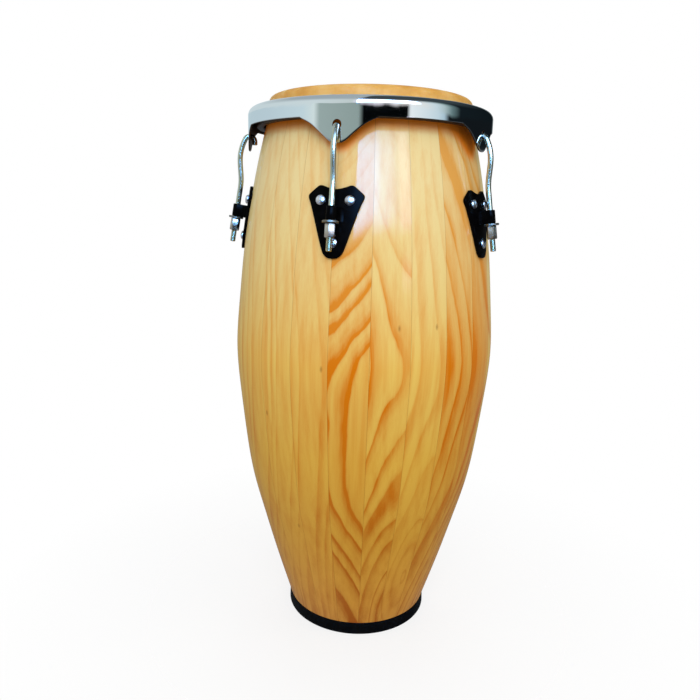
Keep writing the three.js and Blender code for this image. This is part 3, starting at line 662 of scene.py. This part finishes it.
# %% Rim
RIM_SHEET = 2.4
BEND_RADIUS, BEND_Z = 9, 736.5
RIM_TOP = BEND_Z + BEND_RADIUS
HOLE_HALF_WIDTH = 5.5
HOLE_LOW, HOLE_HIGH = 705.6, 717.1
HOLE_CELLS = 8  # how many of the grid's cells a hole takes, each way
LOWER_ROWS = 8  # and the cells below it
SIDE_CELLS = 26  # and beside it, to the lobe's end


def make_rim():
    """Rows run up the outside, over the top to the lip, and back down the inside of the sheet."""
    hole_z, hole_half = (HOLE_LOW + HOLE_HIGH) / 2, (HOLE_HIGH - HOLE_LOW) / 2
    lobe_low = skirt_end(np.zeros(1))[0]
    hole_shares = (np.array([HOLE_LOW, HOLE_HIGH]) - lobe_low) / (BEND_Z - lobe_low)
    rows = np.concatenate([
        np.linspace(0.07, hole_shares[0], LOWER_ROWS + 1),
        np.linspace(*hole_shares, HOLE_CELLS + 1)[1:], np.linspace(hole_shares[1], 1, 8)[1:],
    ])
    # Columns: finer steps near each hole, and even ones between the lobes.
    side = np.linspace(HOLE_HALF_WIDTH, LOBE_HALF, SIDE_CELLS + 1)
    hole = np.linspace(-HOLE_HALF_WIDTH, HOLE_HALF_WIDTH, HOLE_CELLS + 1)[1:-1]
    near = np.concatenate([-side[::-1], hole, side])
    far = np.linspace(LOBE_HALF, TURN / LUG_COUNT * RIM_RADIUS - LOBE_HALF, 40)[1:-1]
    step = np.concatenate([near, far])
    angle = np.concatenate([lug + step / RIM_RADIUS for lug in lugs])
    across = np.tile(np.concatenate([near, np.full(len(far), LOBE_HALF * 1.3)]), LUG_COUNT)
    end = skirt_end(across)

    def skirt(radius):
        height = end + rows[:, None] * (BEND_Z - end)
        middle = hole_shares.mean()
        u, v = across / HOLE_HALF_WIDTH, (rows[:, None] - middle) / (hole_shares[1] - middle)
        square = np.maximum(np.abs(u), np.abs(v))
        shrink = square / np.maximum(np.hypot(u, v), 1e-9)
        weight = np.clip((3.2 - square) / 2.2, 0, 1)
        weight = weight * weight * (3 - 2 * weight)
        moved_across = across + weight * (u * shrink * HOLE_HALF_WIDTH - across)
        moved_height = height + weight * (hole_z + v * shrink * hole_half - height)
        return polar(radius, angle + (moved_across - across) / RIM_RADIUS, moved_height)

    def edge(points):
        return np.stack([polar(r, angle, z) for r, z in points])

    inner = RIM_RADIUS - RIM_SHEET
    outer_rows = skirt(RIM_RADIUS)
    bend = arc((RIM_RADIUS - BEND_RADIUS, BEND_Z), BEND_RADIUS, 0, 90, 12)[1:]
    lip = arc((155.94, RIM_TOP - 3), 3, 90, 180, 7)
    lip_end = [
        (152.94, 738), (152.94, 734.4), (153.25, 733.75), (154.14, 733.5), (155.03, 733.75),
        (155.34, 734.4),
    ]
    under = [(155.34, 738), *arc((157.3, RIM_TOP - RIM_SHEET - 2), 2, 180, 90, 5)]
    back = arc((RIM_RADIUS - BEND_RADIUS, BEND_Z), BEND_RADIUS - RIM_SHEET, 90, 0, 9)[:-1]
    hem = [
        (inner + RIM_SHEET * (0.5 - 0.5 * math.cos(t)), end + 0.9 * (1 - math.sin(t)))
        for t in np.linspace(0, math.pi, 7)
    ]
    grid = np.concatenate([
        outer_rows, *map(edge, (bend, lip, lip_end, under, back)), skirt(inner)[::-1], edge(hem),
    ])
    count_rows, count_columns, _ = grid.shape
    mirror = count_rows - len(hem) - 1  # row i of the outer skirt faces row mirror - i
    first, last = LOWER_ROWS, LOWER_ROWS + HOLE_CELLS
    keep = np.ones((count_rows, count_columns), bool)
    starts = np.arange(LUG_COUNT) * len(step) + SIDE_CELLS
    for left in starts:
        keep[first:last, left : left + HOLE_CELLS] = False
        keep[mirror - last : mirror - first, left : left + HOLE_CELLS] = False
    # Round each hole, a wall joins the outer sheet to the inner one.
    side = np.arange(HOLE_CELLS)
    loop_row = np.concatenate([side * 0 + first, first + side, side * 0 + last, last - side])
    loop_column = np.concatenate([side, side * 0 + HOLE_CELLS, HOLE_CELLS - side, side * 0])
    outer = loop_row * count_columns + starts[:, None] + loop_column
    inner_side = (mirror - loop_row) * count_columns + starts[:, None] + loop_column
    walls = np.stack([
        outer, inner_side, np.roll(inner_side, -1, axis=1), np.roll(outer, -1, axis=1),
    ], axis=-1).reshape(-1, 4)
    sheet = grid_faces(count_rows, count_columns, True, True)[keep.ravel()]
    rim = add_piece("rim_chrome", [outward(grid, sheet, walls)], chrome, "rim", "rim")
    # The chrome is on the outside. The inside and the holes are a dull dark steel, a painted shade
    # under the rim and in the holes.
    rim.data.materials.append(rim_inside_painted_shade)
    inside = np.zeros((count_rows, count_columns), int)
    inside[len(outer_rows) + len(bend) + len(lip) + len(lip_end) : count_rows - 2] = 1
    finish = np.concatenate([inside[keep], np.ones(len(walls), int)])
    rim.data.polygons.foreach_set("material_index", finish)
    return rim


print("rim faces:", len(make_rim().data.polygons))

# %% [markdown]
# ## Lugs
# Each lug stands in an upright plane through the drum's axis. A place in it is given by how far
# it lies across the plane, how far out from the axis, and its height, so one set of numbers
# serves all five. The plate leans with the shell, and so does the rod, so the boss, nut and
# thread use depths measured down the rod.

# %% Lug places
PLATE_LOW, PLATE_HEIGHT, PLATE_HALF = 555.7, 87, 35
PLATE_OFFSET, PLATE_THICKNESS = 0.3, 4
TILT = math.radians(9.003)
BOSS_OUT, BOSS_Z = 186.30, 609.47


def lug_place(lug, across, out, height):
    """Points from the distances across the lug's plane and from the axis, and the height."""
    across, out, height = np.broadcast_arrays(across, out, height)
    x = out * math.cos(lug) - across * math.sin(lug)
    y = out * math.sin(lug) + across * math.cos(lug)
    return np.stack([x, y, height], axis=-1)


def rod_place(lug, across, away, depth, out=BOSS_OUT, z=BOSS_Z):
    """Points about the rod, or another leaning line: away from the drum, and depth down it."""
    out = out + away * math.cos(TILT) + depth * math.sin(TILT)
    z = z + away * math.sin(TILT) - depth * math.cos(TILT)
    return lug_place(lug, across, out, z)


# %% Black coat
# Glossy powder coat, with the slight swell that such a coat has.
black_coat = make_black(
    "black powder coat", 0.2, 0.015, (90, 4), [(0.4, "#040405"), (0.8, "#0B0B0D")], (700, 2),
    0.35, 0.0002,
)

# %% [markdown]
# ### Side plates
# A plate is a shield cut from sheet and bent to the shell: a ring of points, drawn in towards a
# middle point at the back face, the rounded edge and the front face. That way the whole sheet
# follows the barrel, as a flat plate with a bevel wouldn't. The boss is a block with a half-round
# front and a bore for the rod.

# %% Side plates
PLATE_OUTLINE = np.array([
    (0, 0), (0.2, 0.012), (0.33, 0.06), (0.41, 0.13), (0.87, 0.717), (1, 0.83), (0.98, 0.87),
    (0.64, 0.985), (0.54, 1), (0.3, 0.965), (0, 0.94),
])
PLATE_MIDDLE = 0.62  # up the plate, the point that the outline is drawn in to
PLATE_ROUND = 0.9
BORE, BOSS_FRONT, BOSS_BACK = 4.4, 6.2, -15.8
BOSS_FLARE = np.array([
    (-6.2, -4), (-6.3, -8), (-6.9, -10.5), (-8.2, -12.4), (-10, -13.4), (-11.6, -13.7),
])
# The boss's height down the rod, and how far its side is drawn in there.
BOSS_SIDE = [(-8.5, 1), (-8.2, 0.3), (-7.5, 0), (0, 0), (7.5, 0), (8.2, 0.3), (8.5, 1)]


def rounded(points, rounds):
    """Corner cutting: each corner of a closed line is replaced by two points beside it."""
    for _ in range(rounds):
        after = np.roll(points, -1, axis=0)
        pairs = [0.8 * points + 0.2 * after, 0.2 * points + 0.8 * after]
        points = np.stack(pairs, axis=1).reshape(-1, 2)
    return points


def length_along(points):
    """The length of a line up to each of its points: the sum of |next - this|."""
    return np.concatenate([[0], np.cumsum(np.linalg.norm(np.diff(points, axis=0), axis=1))])


def resample(points, count):
    """Points at even steps along a closed line."""
    closed = np.concatenate([points, points[:1]])
    along = length_along(closed)
    at = np.linspace(0, along[-1], count, endpoint=False)
    return np.stack([np.interp(at, along, closed[:, k]) for k in (0, 1)], axis=1)


def plate_sheet(lug):
    """Loops of the outline, growing at the back, round the edge, and shrinking in front."""
    half = PLATE_OUTLINE * (PLATE_HALF, PLATE_HEIGHT)
    outline = resample(rounded(np.concatenate([half, half[-2:0:-1] * (-1, 1)]), 3), 168)
    back, front = PLATE_OFFSET, PLATE_OFFSET + PLATE_THICKNESS
    shares = [0.05, 0.3, 0.55, 0.8, 0.94]
    # Each loop's share of the full size, its distance in from the edge, and its height.
    loops = [(share, 0, back) for share in shares]
    for t in np.radians([-90, -67.5, -45, -22.5, 22.5, 45, 67.5, 90]):
        level = back + PLATE_ROUND if t < 0 else front - PLATE_ROUND
        loops.append((1, PLATE_ROUND * (1 - math.cos(t)), level + PLATE_ROUND * math.sin(t)))
    loops += [(share, 0, front) for share in shares[::-1]]
    middle = np.array([0, PLATE_MIDDLE * PLATE_HEIGHT])
    towards = outline - middle
    length = np.linalg.norm(towards, axis=1, keepdims=True)
    grid = []
    for share, inset, offset in loops:
        x, y = (middle + towards * (share - inset / length)).T
        out = np.sqrt((shell_radius(PLATE_LOW + y) + offset) ** 2 - x**2)
        grid.append(lug_place(lug, x, out, PLATE_LOW + y))
    return closed_tube(np.array(grid))


def plate_boss(lug):
    """The block round the rod, with its bore: a closed ring of (side, face, bore, face) loops."""
    front = BOSS_FRONT * circle(np.linspace(0, math.pi, 25))
    back = [(x, BOSS_BACK) for x in (-11.6, 0, 11.6)]
    outline = resample(np.concatenate([front, BOSS_FLARE, back, BOSS_FLARE[::-1] * (-1, 1)]), 96)
    length = np.linalg.norm(outline, axis=1, keepdims=True)
    # The bore's points follow the outline's angles, and a share of even steps keeps them apart.
    angle = np.unwrap(np.arctan2(outline[:, 1], outline[:, 0]))
    angle = 0.85 * angle + 0.15 * (angle[0] + even_turn(len(outline)))
    bore = BORE * circle(angle)
    loops = [(outline * (1 - inset / length), depth) for depth, inset in BOSS_SIDE]
    loops += [(1.09 * bore, 8.5), (bore, 8.1), (bore, -8.1), (1.09 * bore, -8.5)]
    return closed_ring(np.array([rod_place(lug, *points.T, depth) for points, depth in loops]))


for k, lug in enumerate(lugs, 1):
    node = f"side_plate_{k}"
    parts = [plate_sheet(lug), plate_boss(lug)]
    add_piece(node + "_coated", parts, black_coat, "shell", node)
print("side plates:", LUG_COUNT)

# %% [markdown]
# ### Plate bolts
# Two bolts at the top and one below hold each plate. A bolt stands square to the plate, so its
# section is turned about its own axis, with heights measured outwards from the shell. Inside the
# shell it has a washer and a six-sided nut, all in one surface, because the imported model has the
# whole bolt as one piece.

# %% Plate bolts
BOLT_SPOTS = [("a", -17.6, 624), ("b", 17.6, 624), ("c", 0, 574)]


def hexagon(turn):
    """How far a six-sided outline reaches at an angle, over how far it reaches at a flat."""
    return 1 / np.cos((turn + math.pi / 6) % (math.pi / 3) - math.pi / 6)


def bolt(lug, across, z, sides=36):
    """Rows from the middle of the dome, down the shank, over washer and nut, to the end."""
    radius = float(shell_radius(z))
    angle = lug + math.asin(across / radius)
    turn = even_turn(sides)
    base = PLATE_OFFSET + PLATE_THICKNESS + 0.2
    dome = np.radians([3, 20, 38, 55, 70, 82])
    seat = -SHELL_WALL - 0.6
    round_rows = [(6.2 * math.sin(t), base + 0.9 + 2.7 * math.cos(t)) for t in dome]
    round_rows += [(6.2, base + 0.7), (6, base), (3, base - 0.1), (3, seat)]
    round_rows += [(6.6, seat), (6.8, seat - 0.2), (6.8, seat - 1.4), (6.6, seat - 1.6)]
    nut_rows = [(4.7, seat - 1.6), (5, seat - 1.9), (5, seat - 6.8), (4.6, seat - 7.2)]
    end_rows = [(2.8, seat - 7.2), (2.8, seat - 9), (2.2, seat - 9.6)]
    grid = []
    for rows, shape in ((round_rows, 1), (nut_rows, hexagon(turn)), (end_rows, 1)):
        for r, height in rows:
            x, y = r * shape * np.cos(turn), r * shape * np.sin(turn)
            grid.append(rod_place(angle, x, height, -y, radius, z))
    return closed_tube(np.array(grid))


for k, lug in enumerate(lugs, 1):
    for letter, across, z in BOLT_SPOTS:
        node = f"plate_bolt_{k}{letter}"
        add_piece(node + "_chrome", [bolt(lug, across, z)], satin_chrome, "shell", node)
print("plate bolts:", LUG_COUNT * len(BOLT_SPOTS))

# %% [markdown]
# ### Hooks, washers and nuts
# A hook is a rod that follows a line in the lug's plane: through the rim's hole, down with a
# slight bow, and straight through the boss. A curve with a round bevel would make the rod, but
# not its thread. So the rod is made of circles along the line, and the thread is a ridge that
# winds round it: the radius at a depth s and an angle t follows a wave in s / pitch + t / turn.

# %% Hooks
ROD_RADIUS, THREAD_RADIUS, THREAD_PITCH = 3.6, 3.95, 1.25
THREAD_TOP, ROD_END = -6, 44.6
HOOK_TIP_OUT, HOOK_BEND, HOOK_TOP = 160.77, 7, 710.1


def hook_line():
    """The centre line as (distance from the axis, height) points, down to the thread."""
    centre = (HOOK_TIP_OUT + HOOK_BEND, HOOK_TOP - HOOK_BEND)
    tip = [(HOOK_TIP_OUT, centre[1] - 4.5 + step) for step in (0, 0.3, 1, 2.5)]
    bend = arc(centre, HOOK_BEND, 180, 24, 19)
    bow = [(178.7, 695), (181, 684), (181.1, 670), (180.3, 656), (180.6, 646)]
    straight = rod_place(0, 0, 0, np.array([-28, -20, -13, -8]))[:, ::2]
    knots = np.concatenate([tip, bend, bow, straight])
    along = length_along(knots)
    curved = len(tip) + len(bend)
    steps = np.concatenate([along[:curved], np.linspace(along[curved - 1], along[-1], 45)[1:]])
    return np.stack([natural_spline(along, knots[:, k])(steps) for k in (0, 1)], axis=1)


def hook(lug, sides=24):
    """Circles along the line, and threaded rows about the rod below it."""
    turn = even_turn(sides)
    line = hook_line()
    radii = np.full((len(line), 1), ROD_RADIUS)
    radii[:2] = [[2.4], [3.2]]
    slope = np.gradient(line, axis=0)
    slope /= np.linalg.norm(slope, axis=1, keepdims=True)
    away = radii * np.cos(turn)
    out, height = line[:, :1] - slope[:, 1:] * away, line[:, 1:] + slope[:, :1] * away
    rod = lug_place(lug, -radii * np.sin(turn), out, height)
    depth = np.arange(THREAD_TOP, ROD_END - 0.9, THREAD_PITCH / 8)[:, None]
    phase = (depth / THREAD_PITCH + turn / TURN) % 1
    ridge = np.clip(2.4 * (0.5 - np.abs(phase - 0.5)) - 0.1, 0, 0.95)
    fade = np.clip(np.minimum(depth - THREAD_TOP, ROD_END - 0.9 - depth) / 2, 0, 1)
    radius = THREAD_RADIUS - 0.75 + 0.75 * ridge
    radius = ROD_RADIUS + (radius - ROD_RADIUS) * np.clip(fade * 2, 0, 1)
    end_radius, end_depth = np.array([(3.3, 0.5), (2.8, 0.05), (2.2, 0)]).T[:, :, None]
    thread, end = (
        rod_place(lug, -r * np.sin(turn), -r * np.cos(turn), z)
        for r, z in ((radius, depth), (end_radius, ROD_END - end_depth))
    )
    return closed_tube(np.concatenate([rod, thread, end]))


# %% Washers and nuts
WASHER = [
    (4.4, 9.2), (4.8, 8.8), (9.8, 8.8), (10.1, 9.1), (10.1, 11), (9.8, 11.3), (4.8, 11.3),
    (4.4, 10.9),
]
NUT_FLAT, NUT_TURN = 5.8, math.radians(36)
# Loops down a nut: bore, end face, chamfer, flats, chamfer, end face, bore.
NUT = [
    (4.25, 12.1), (4.75, 11.6), (NUT_FLAT * 0.9, 11.6), (NUT_FLAT, 12.7),
    (NUT_FLAT, 27.4), (NUT_FLAT * 0.9, 28.6), (4.75, 28.6), (4.25, 28.1),
]


def around_rod(lug, profile, sides, round_up_to=math.inf):
    """A profile of (radius, depth) points turned about the rod, and six-sided beyond a radius."""
    turn = even_turn(sides)
    radius, depth = np.array(profile).T[:, :, None]
    radius = radius * np.where(radius > round_up_to, hexagon(turn - NUT_TURN), 1)
    return closed_ring(rod_place(lug, radius * np.sin(turn), radius * np.cos(turn), depth))


for k, lug in enumerate(lugs, 1):
    node = f"hook_{k}"
    add_piece(node + "_chrome", [hook(lug)], worn_chrome, node, node, 60)
    node, parts = f"washer_{k}", [around_rod(lug, WASHER, 48)]
    add_piece(node + "_zinc", parts, hoop_steel, "shell", node)
    node, parts = f"tuning_nut_{k}", [around_rod(lug, NUT, 72, NUT_FLAT * 0.85)]
    add_piece(node + "_zinc", parts, zinc, f"nut_{k}", node, 30)
print("hooks, washers and nuts:", 3 * LUG_COUNT)

# %% [markdown]
# ## Light and floor
# A plain pale floor keeps only the drum's soft shadow on a white background. Chrome shows only
# what stands round it, and a white world alone would leave it blank. So it mirrors a round
# studio wall, with a floor and a ceiling, that only reflections see.

# %% World and floor
WHITE = (1, 1, 1, 1)


def make_world():
    """White where the camera, glossy or clear rays look, and soft light for everything else."""
    world = bpy.context.scene.world = bpy.data.worlds.new("studio")
    world.use_nodes = True
    add = partial(add_node, world.node_tree)
    soft = world.node_tree.nodes["Background"]
    set_inputs(soft, {"Color": (0.93, 0.96, 1, 1), "Strength": 0.5})
    white = add("Background", {"Color": WHITE, "Strength": 1})
    path = add("LightPath").outputs
    seen = path["Is Camera Ray"]
    for ray in ("Is Glossy Ray", "Is Transmission Ray"):
        seen = add("Math", (seen, path[ray]), operation="MAXIMUM")
    mix = add("MixShader", (seen, soft, white))
    set_inputs(world.node_tree.nodes["World Output"], {"Surface": mix})


def make_floor():
    """White paper near the drum, which keeps its shadow, fading into the white background."""
    mesh = bpy.data.meshes.new("floor")
    mesh.from_pydata([(-3, -3, 0), (3, -3, 0), (3, 3, 0), (-3, 3, 0)], [], [(0, 1, 2, 3)])
    floor = new_object("floor", mesh)
    material, shader, add, position = new_material(
        "white paper", Roughness=0.9, Specular_IOR_Level=0, Base_Color=linear(0.93)
    )
    fade = add("MapRange", (add("VectorMath", (position,), operation="LENGTH"), 0.16, 0.6))
    below = add("NewGeometry").outputs["Backfacing"]
    fade = add("Math", (fade, below), operation="MAXIMUM")
    # A camera ray sees it part white, so that the drum's shadow stays faint.
    camera_ray = add("LightPath").outputs["Is Camera Ray"]
    faint = add("Math", (camera_ray, 0.78), operation="MULTIPLY")
    white = add("Emission", {"Color": WHITE, "Strength": 1})
    paper = add("MixShader", (faint, shader, white))
    mix = add("MixShader", (fade, paper, add("BsdfTransparent")))
    set_inputs(material.node_tree.nodes["Material Output"], {"Surface": mix})
    mesh.materials.append(material)
    floor.visible_glossy = False


make_world()
make_floor()

# %% Studio wall for reflections
WALL_DISTANCE, WALL_LOW, WALL_HIGH = 2.2, -3, 3.6
# Colours round the wall by azimuth from the camera, in degrees, to the right: what the rim's
# upright side mirrors (low) and what its rolled shoulder and the leaning wood mirror (high).
LOW_WALL = [
    (-180, "#B9CED6"), (-100, "#C3D6DF"), (-60, "#CCE0E7"), (-49, "#DBE9E9"), (-44, "#A0B1AF"),
    (-10, "#95A6A3"), (-6, "#050708"), (31, "#050708"), (34, "#F2F9FC"), (60, "#CCE0EA"),
    (66, "#B4CEDC"), (71, "#13181C"), (150, "#13181C"), (180, "#B9CED6"),
]
HIGH_WALL = [
    (-180, "#CCDBE0"), (-50, "#D6E3E6"), (-16, "#CBD6D6"), (-10, "#F0ECFF"), (36, "#FBF6F0"),
    (58, "#D0E2EA"), (66, "#B4C8CC"), (74, "#6A8486"), (84, "#141D22"), (150, "#10171B"),
    (180, "#CCDBE0"),
]
# Below the drum's middle the wall is darker, so the lower wood keeps its colour.
FLOOR_WALL = [
    (-180, "#888D92"), (-75, "#A8ACB0"), (-45, "#8C9092"), (-15, "#1C1E20"), (60, "#1C1E20"),
    (100, "#5A5E62"), (130, "#888D92"), (180, "#888D92"),
]
# High up the studio is darker, which gives the rim's top its grey line.
SKY_WALL = [
    (-180, "#A4B0B8"), (-14, "#A9B4BA"), (-5, "#3C464B"), (150, "#3C464B"), (180, "#A4B0B8"),
]
# Half the height, in metres, of the edge between low and high, by azimuth.
WALL_EDGE = [
    (-180, 0.515), (-52, 0.515), (-43, 0.535), (-13, 0.535), (-8, 0.518), (33, 0.518), (37, 0.52),
    (78, 0.5), (180, 0.5),
]
# Bright panels: left, right, bottom and top edges, colour, strength, how many degrees the right
# edge fades over, and how many metres the bottom rises a degree to the right.
PANELS = [
    (-12, 12, 1.03, 2.2, "#48A0FF", 30, 6, 0.009), (-12, 44, 1.07, 2.2, "#8CC4FF", 8, 5, 0),
    (7, 31, 1.09, 2.2, "#64ACFF", 17, 12, 0.004), (29, 39, 1.07, 2.2, "#E6DFFF", 8, 2, 0),
    (30, 38, 0.6, 0.97, "#E6DFFF", 6, 2, 0),
]


def wall_colour(add, position, angle, height):
    """The low colours below a slightly ragged edge and the high ones above, then sky and floor."""
    share = add("MapRange", (angle, -math.pi, math.pi))
    low, high, floor, sky, edge = (
        add("ValToRGB", (share,), [((a + 180) / 360, colour) for a, colour in stops])
        for stops in (LOW_WALL, HIGH_WALL, FLOOR_WALL, SKY_WALL, WALL_EDGE)
    )
    ragged = add("TexNoise", (position, 0, 3, 2))
    edge = add("Math", (edge, -2, height), operation="MULTIPLY_ADD")
    edge = add("Math", (ragged, 0.02, edge), operation="MULTIPLY_ADD")
    wall = low
    for value, start, end, above in ((edge, 0.002, 0.018, high), (height, 1.7, 3.2, sky)):
        share = add("MapRange", (value, start, end))
        wall = add("Mix", {"Factor": share, "A": wall, "B": above}, data_type="RGBA")
    share = add("MapRange", (height, 0.4, 0.9))
    return add("Mix", {"Factor": share, "A": floor, "B": wall}, data_type="RGBA")


def panel_light(add, angle, height, panel):
    """strength * product of four slopes, one at each edge of the panel."""
    left, right, bottom, top, colour, strength, soft, rise = panel
    over = add("Math", (angle, -rise * math.degrees(1), height), operation="MULTIPLY_ADD")
    start = bottom - rise * left
    light = strength
    for slope in (
        (angle, math.radians(left), math.radians(left + 1), 0, 1),
        (angle, math.radians(right - soft), math.radians(right), 1, 0),
        (over, start, start + 0.12, 0, 1), (height, top - 0.3, top, 1, 0),
    ):
        light = add("Math", (light, add("MapRange", slope)), operation="MULTIPLY")
    return add("Emission", {"Color": linear(colour), "Strength": light})


def make_wall():
    """The wall, its floor and its ceiling, whose light depends on azimuth and height."""
    azimuth = np.radians(np.linspace(-180, 180, 145)[:-1])
    radius = np.array([[0.01], [WALL_DISTANCE], [WALL_DISTANCE], [0.01]])
    height = np.array([[WALL_LOW], [WALL_LOW], [WALL_HIGH], [WALL_HIGH]])
    points = polar(radius / MM, azimuth, height / MM).reshape(-1, 3)
    mesh = make_mesh("studio_wall", [(points, grid_faces(4, len(azimuth), False, True))], 0)
    wall = new_object("studio_wall", mesh)
    material, shader, add, position = new_material("studio wall")
    turned_back = add("VectorRotate", {"Angle": -CAMERA_AZIMUTH, "Vector": position})
    x, y, z = add("SeparateXYZ", (turned_back,)).outputs
    angle = add("Math", (y, x), operation="ARCTAN2")
    glow = add("Emission", {"Color": wall_colour(add, position, angle, z)})
    for panel in PANELS:
        glow = add("AddShader", (glow, panel_light(add, angle, z, panel)))
    tree = material.node_tree
    set_inputs(tree.nodes["Material Output"], {"Surface": glow})
    tree.nodes.remove(shader)
    mesh.materials.append(material)
    wall.visible_camera = wall.visible_diffuse = wall.visible_shadow = False
    wall.visible_transmission = wall.visible_volume_scatter = False


make_wall()

# %% Lights
LIGHT_DISTANCE = 2.5
LIGHT_AIM = Vector((0, 0, 0.5))


def add_light(name, azimuth, elevation, size, power, colour=(1, 1, 1)):
    """A rectangular light aimed at the drum, azimuth degrees to the right of the camera."""
    data = bpy.data.lights.new(name, "AREA")
    data.shape, data.size, data.size_y = "RECTANGLE", *size
    data.energy, data.color = power, colour
    light = new_object(name, data)
    a, e = CAMERA_AZIMUTH + math.radians(azimuth), math.radians(elevation)
    away = Vector((math.cos(a) * math.cos(e), math.sin(a) * math.cos(e), math.sin(e)))
    light.location = LIGHT_AIM + LIGHT_DISTANCE * away
    light.rotation_euler = (light.location - LIGHT_AIM).to_track_quat("Z", "Y").to_euler()
    light.visible_glossy = False


add_light("key", 0, 26, (1.8, 1.2), 34)
add_light("left fill", -70, 20, (1.2, 1.8), 2.5)
add_light("right fill", 75, 25, (1, 1.8), 9, (1, 0.95, 0.88))
add_light("back fill", 180, 30, (2, 1.2), 18)
print("lights:", len(bpy.data.lights))

# %% Finish
bpy.context.scene.view_settings.view_transform = "Standard"
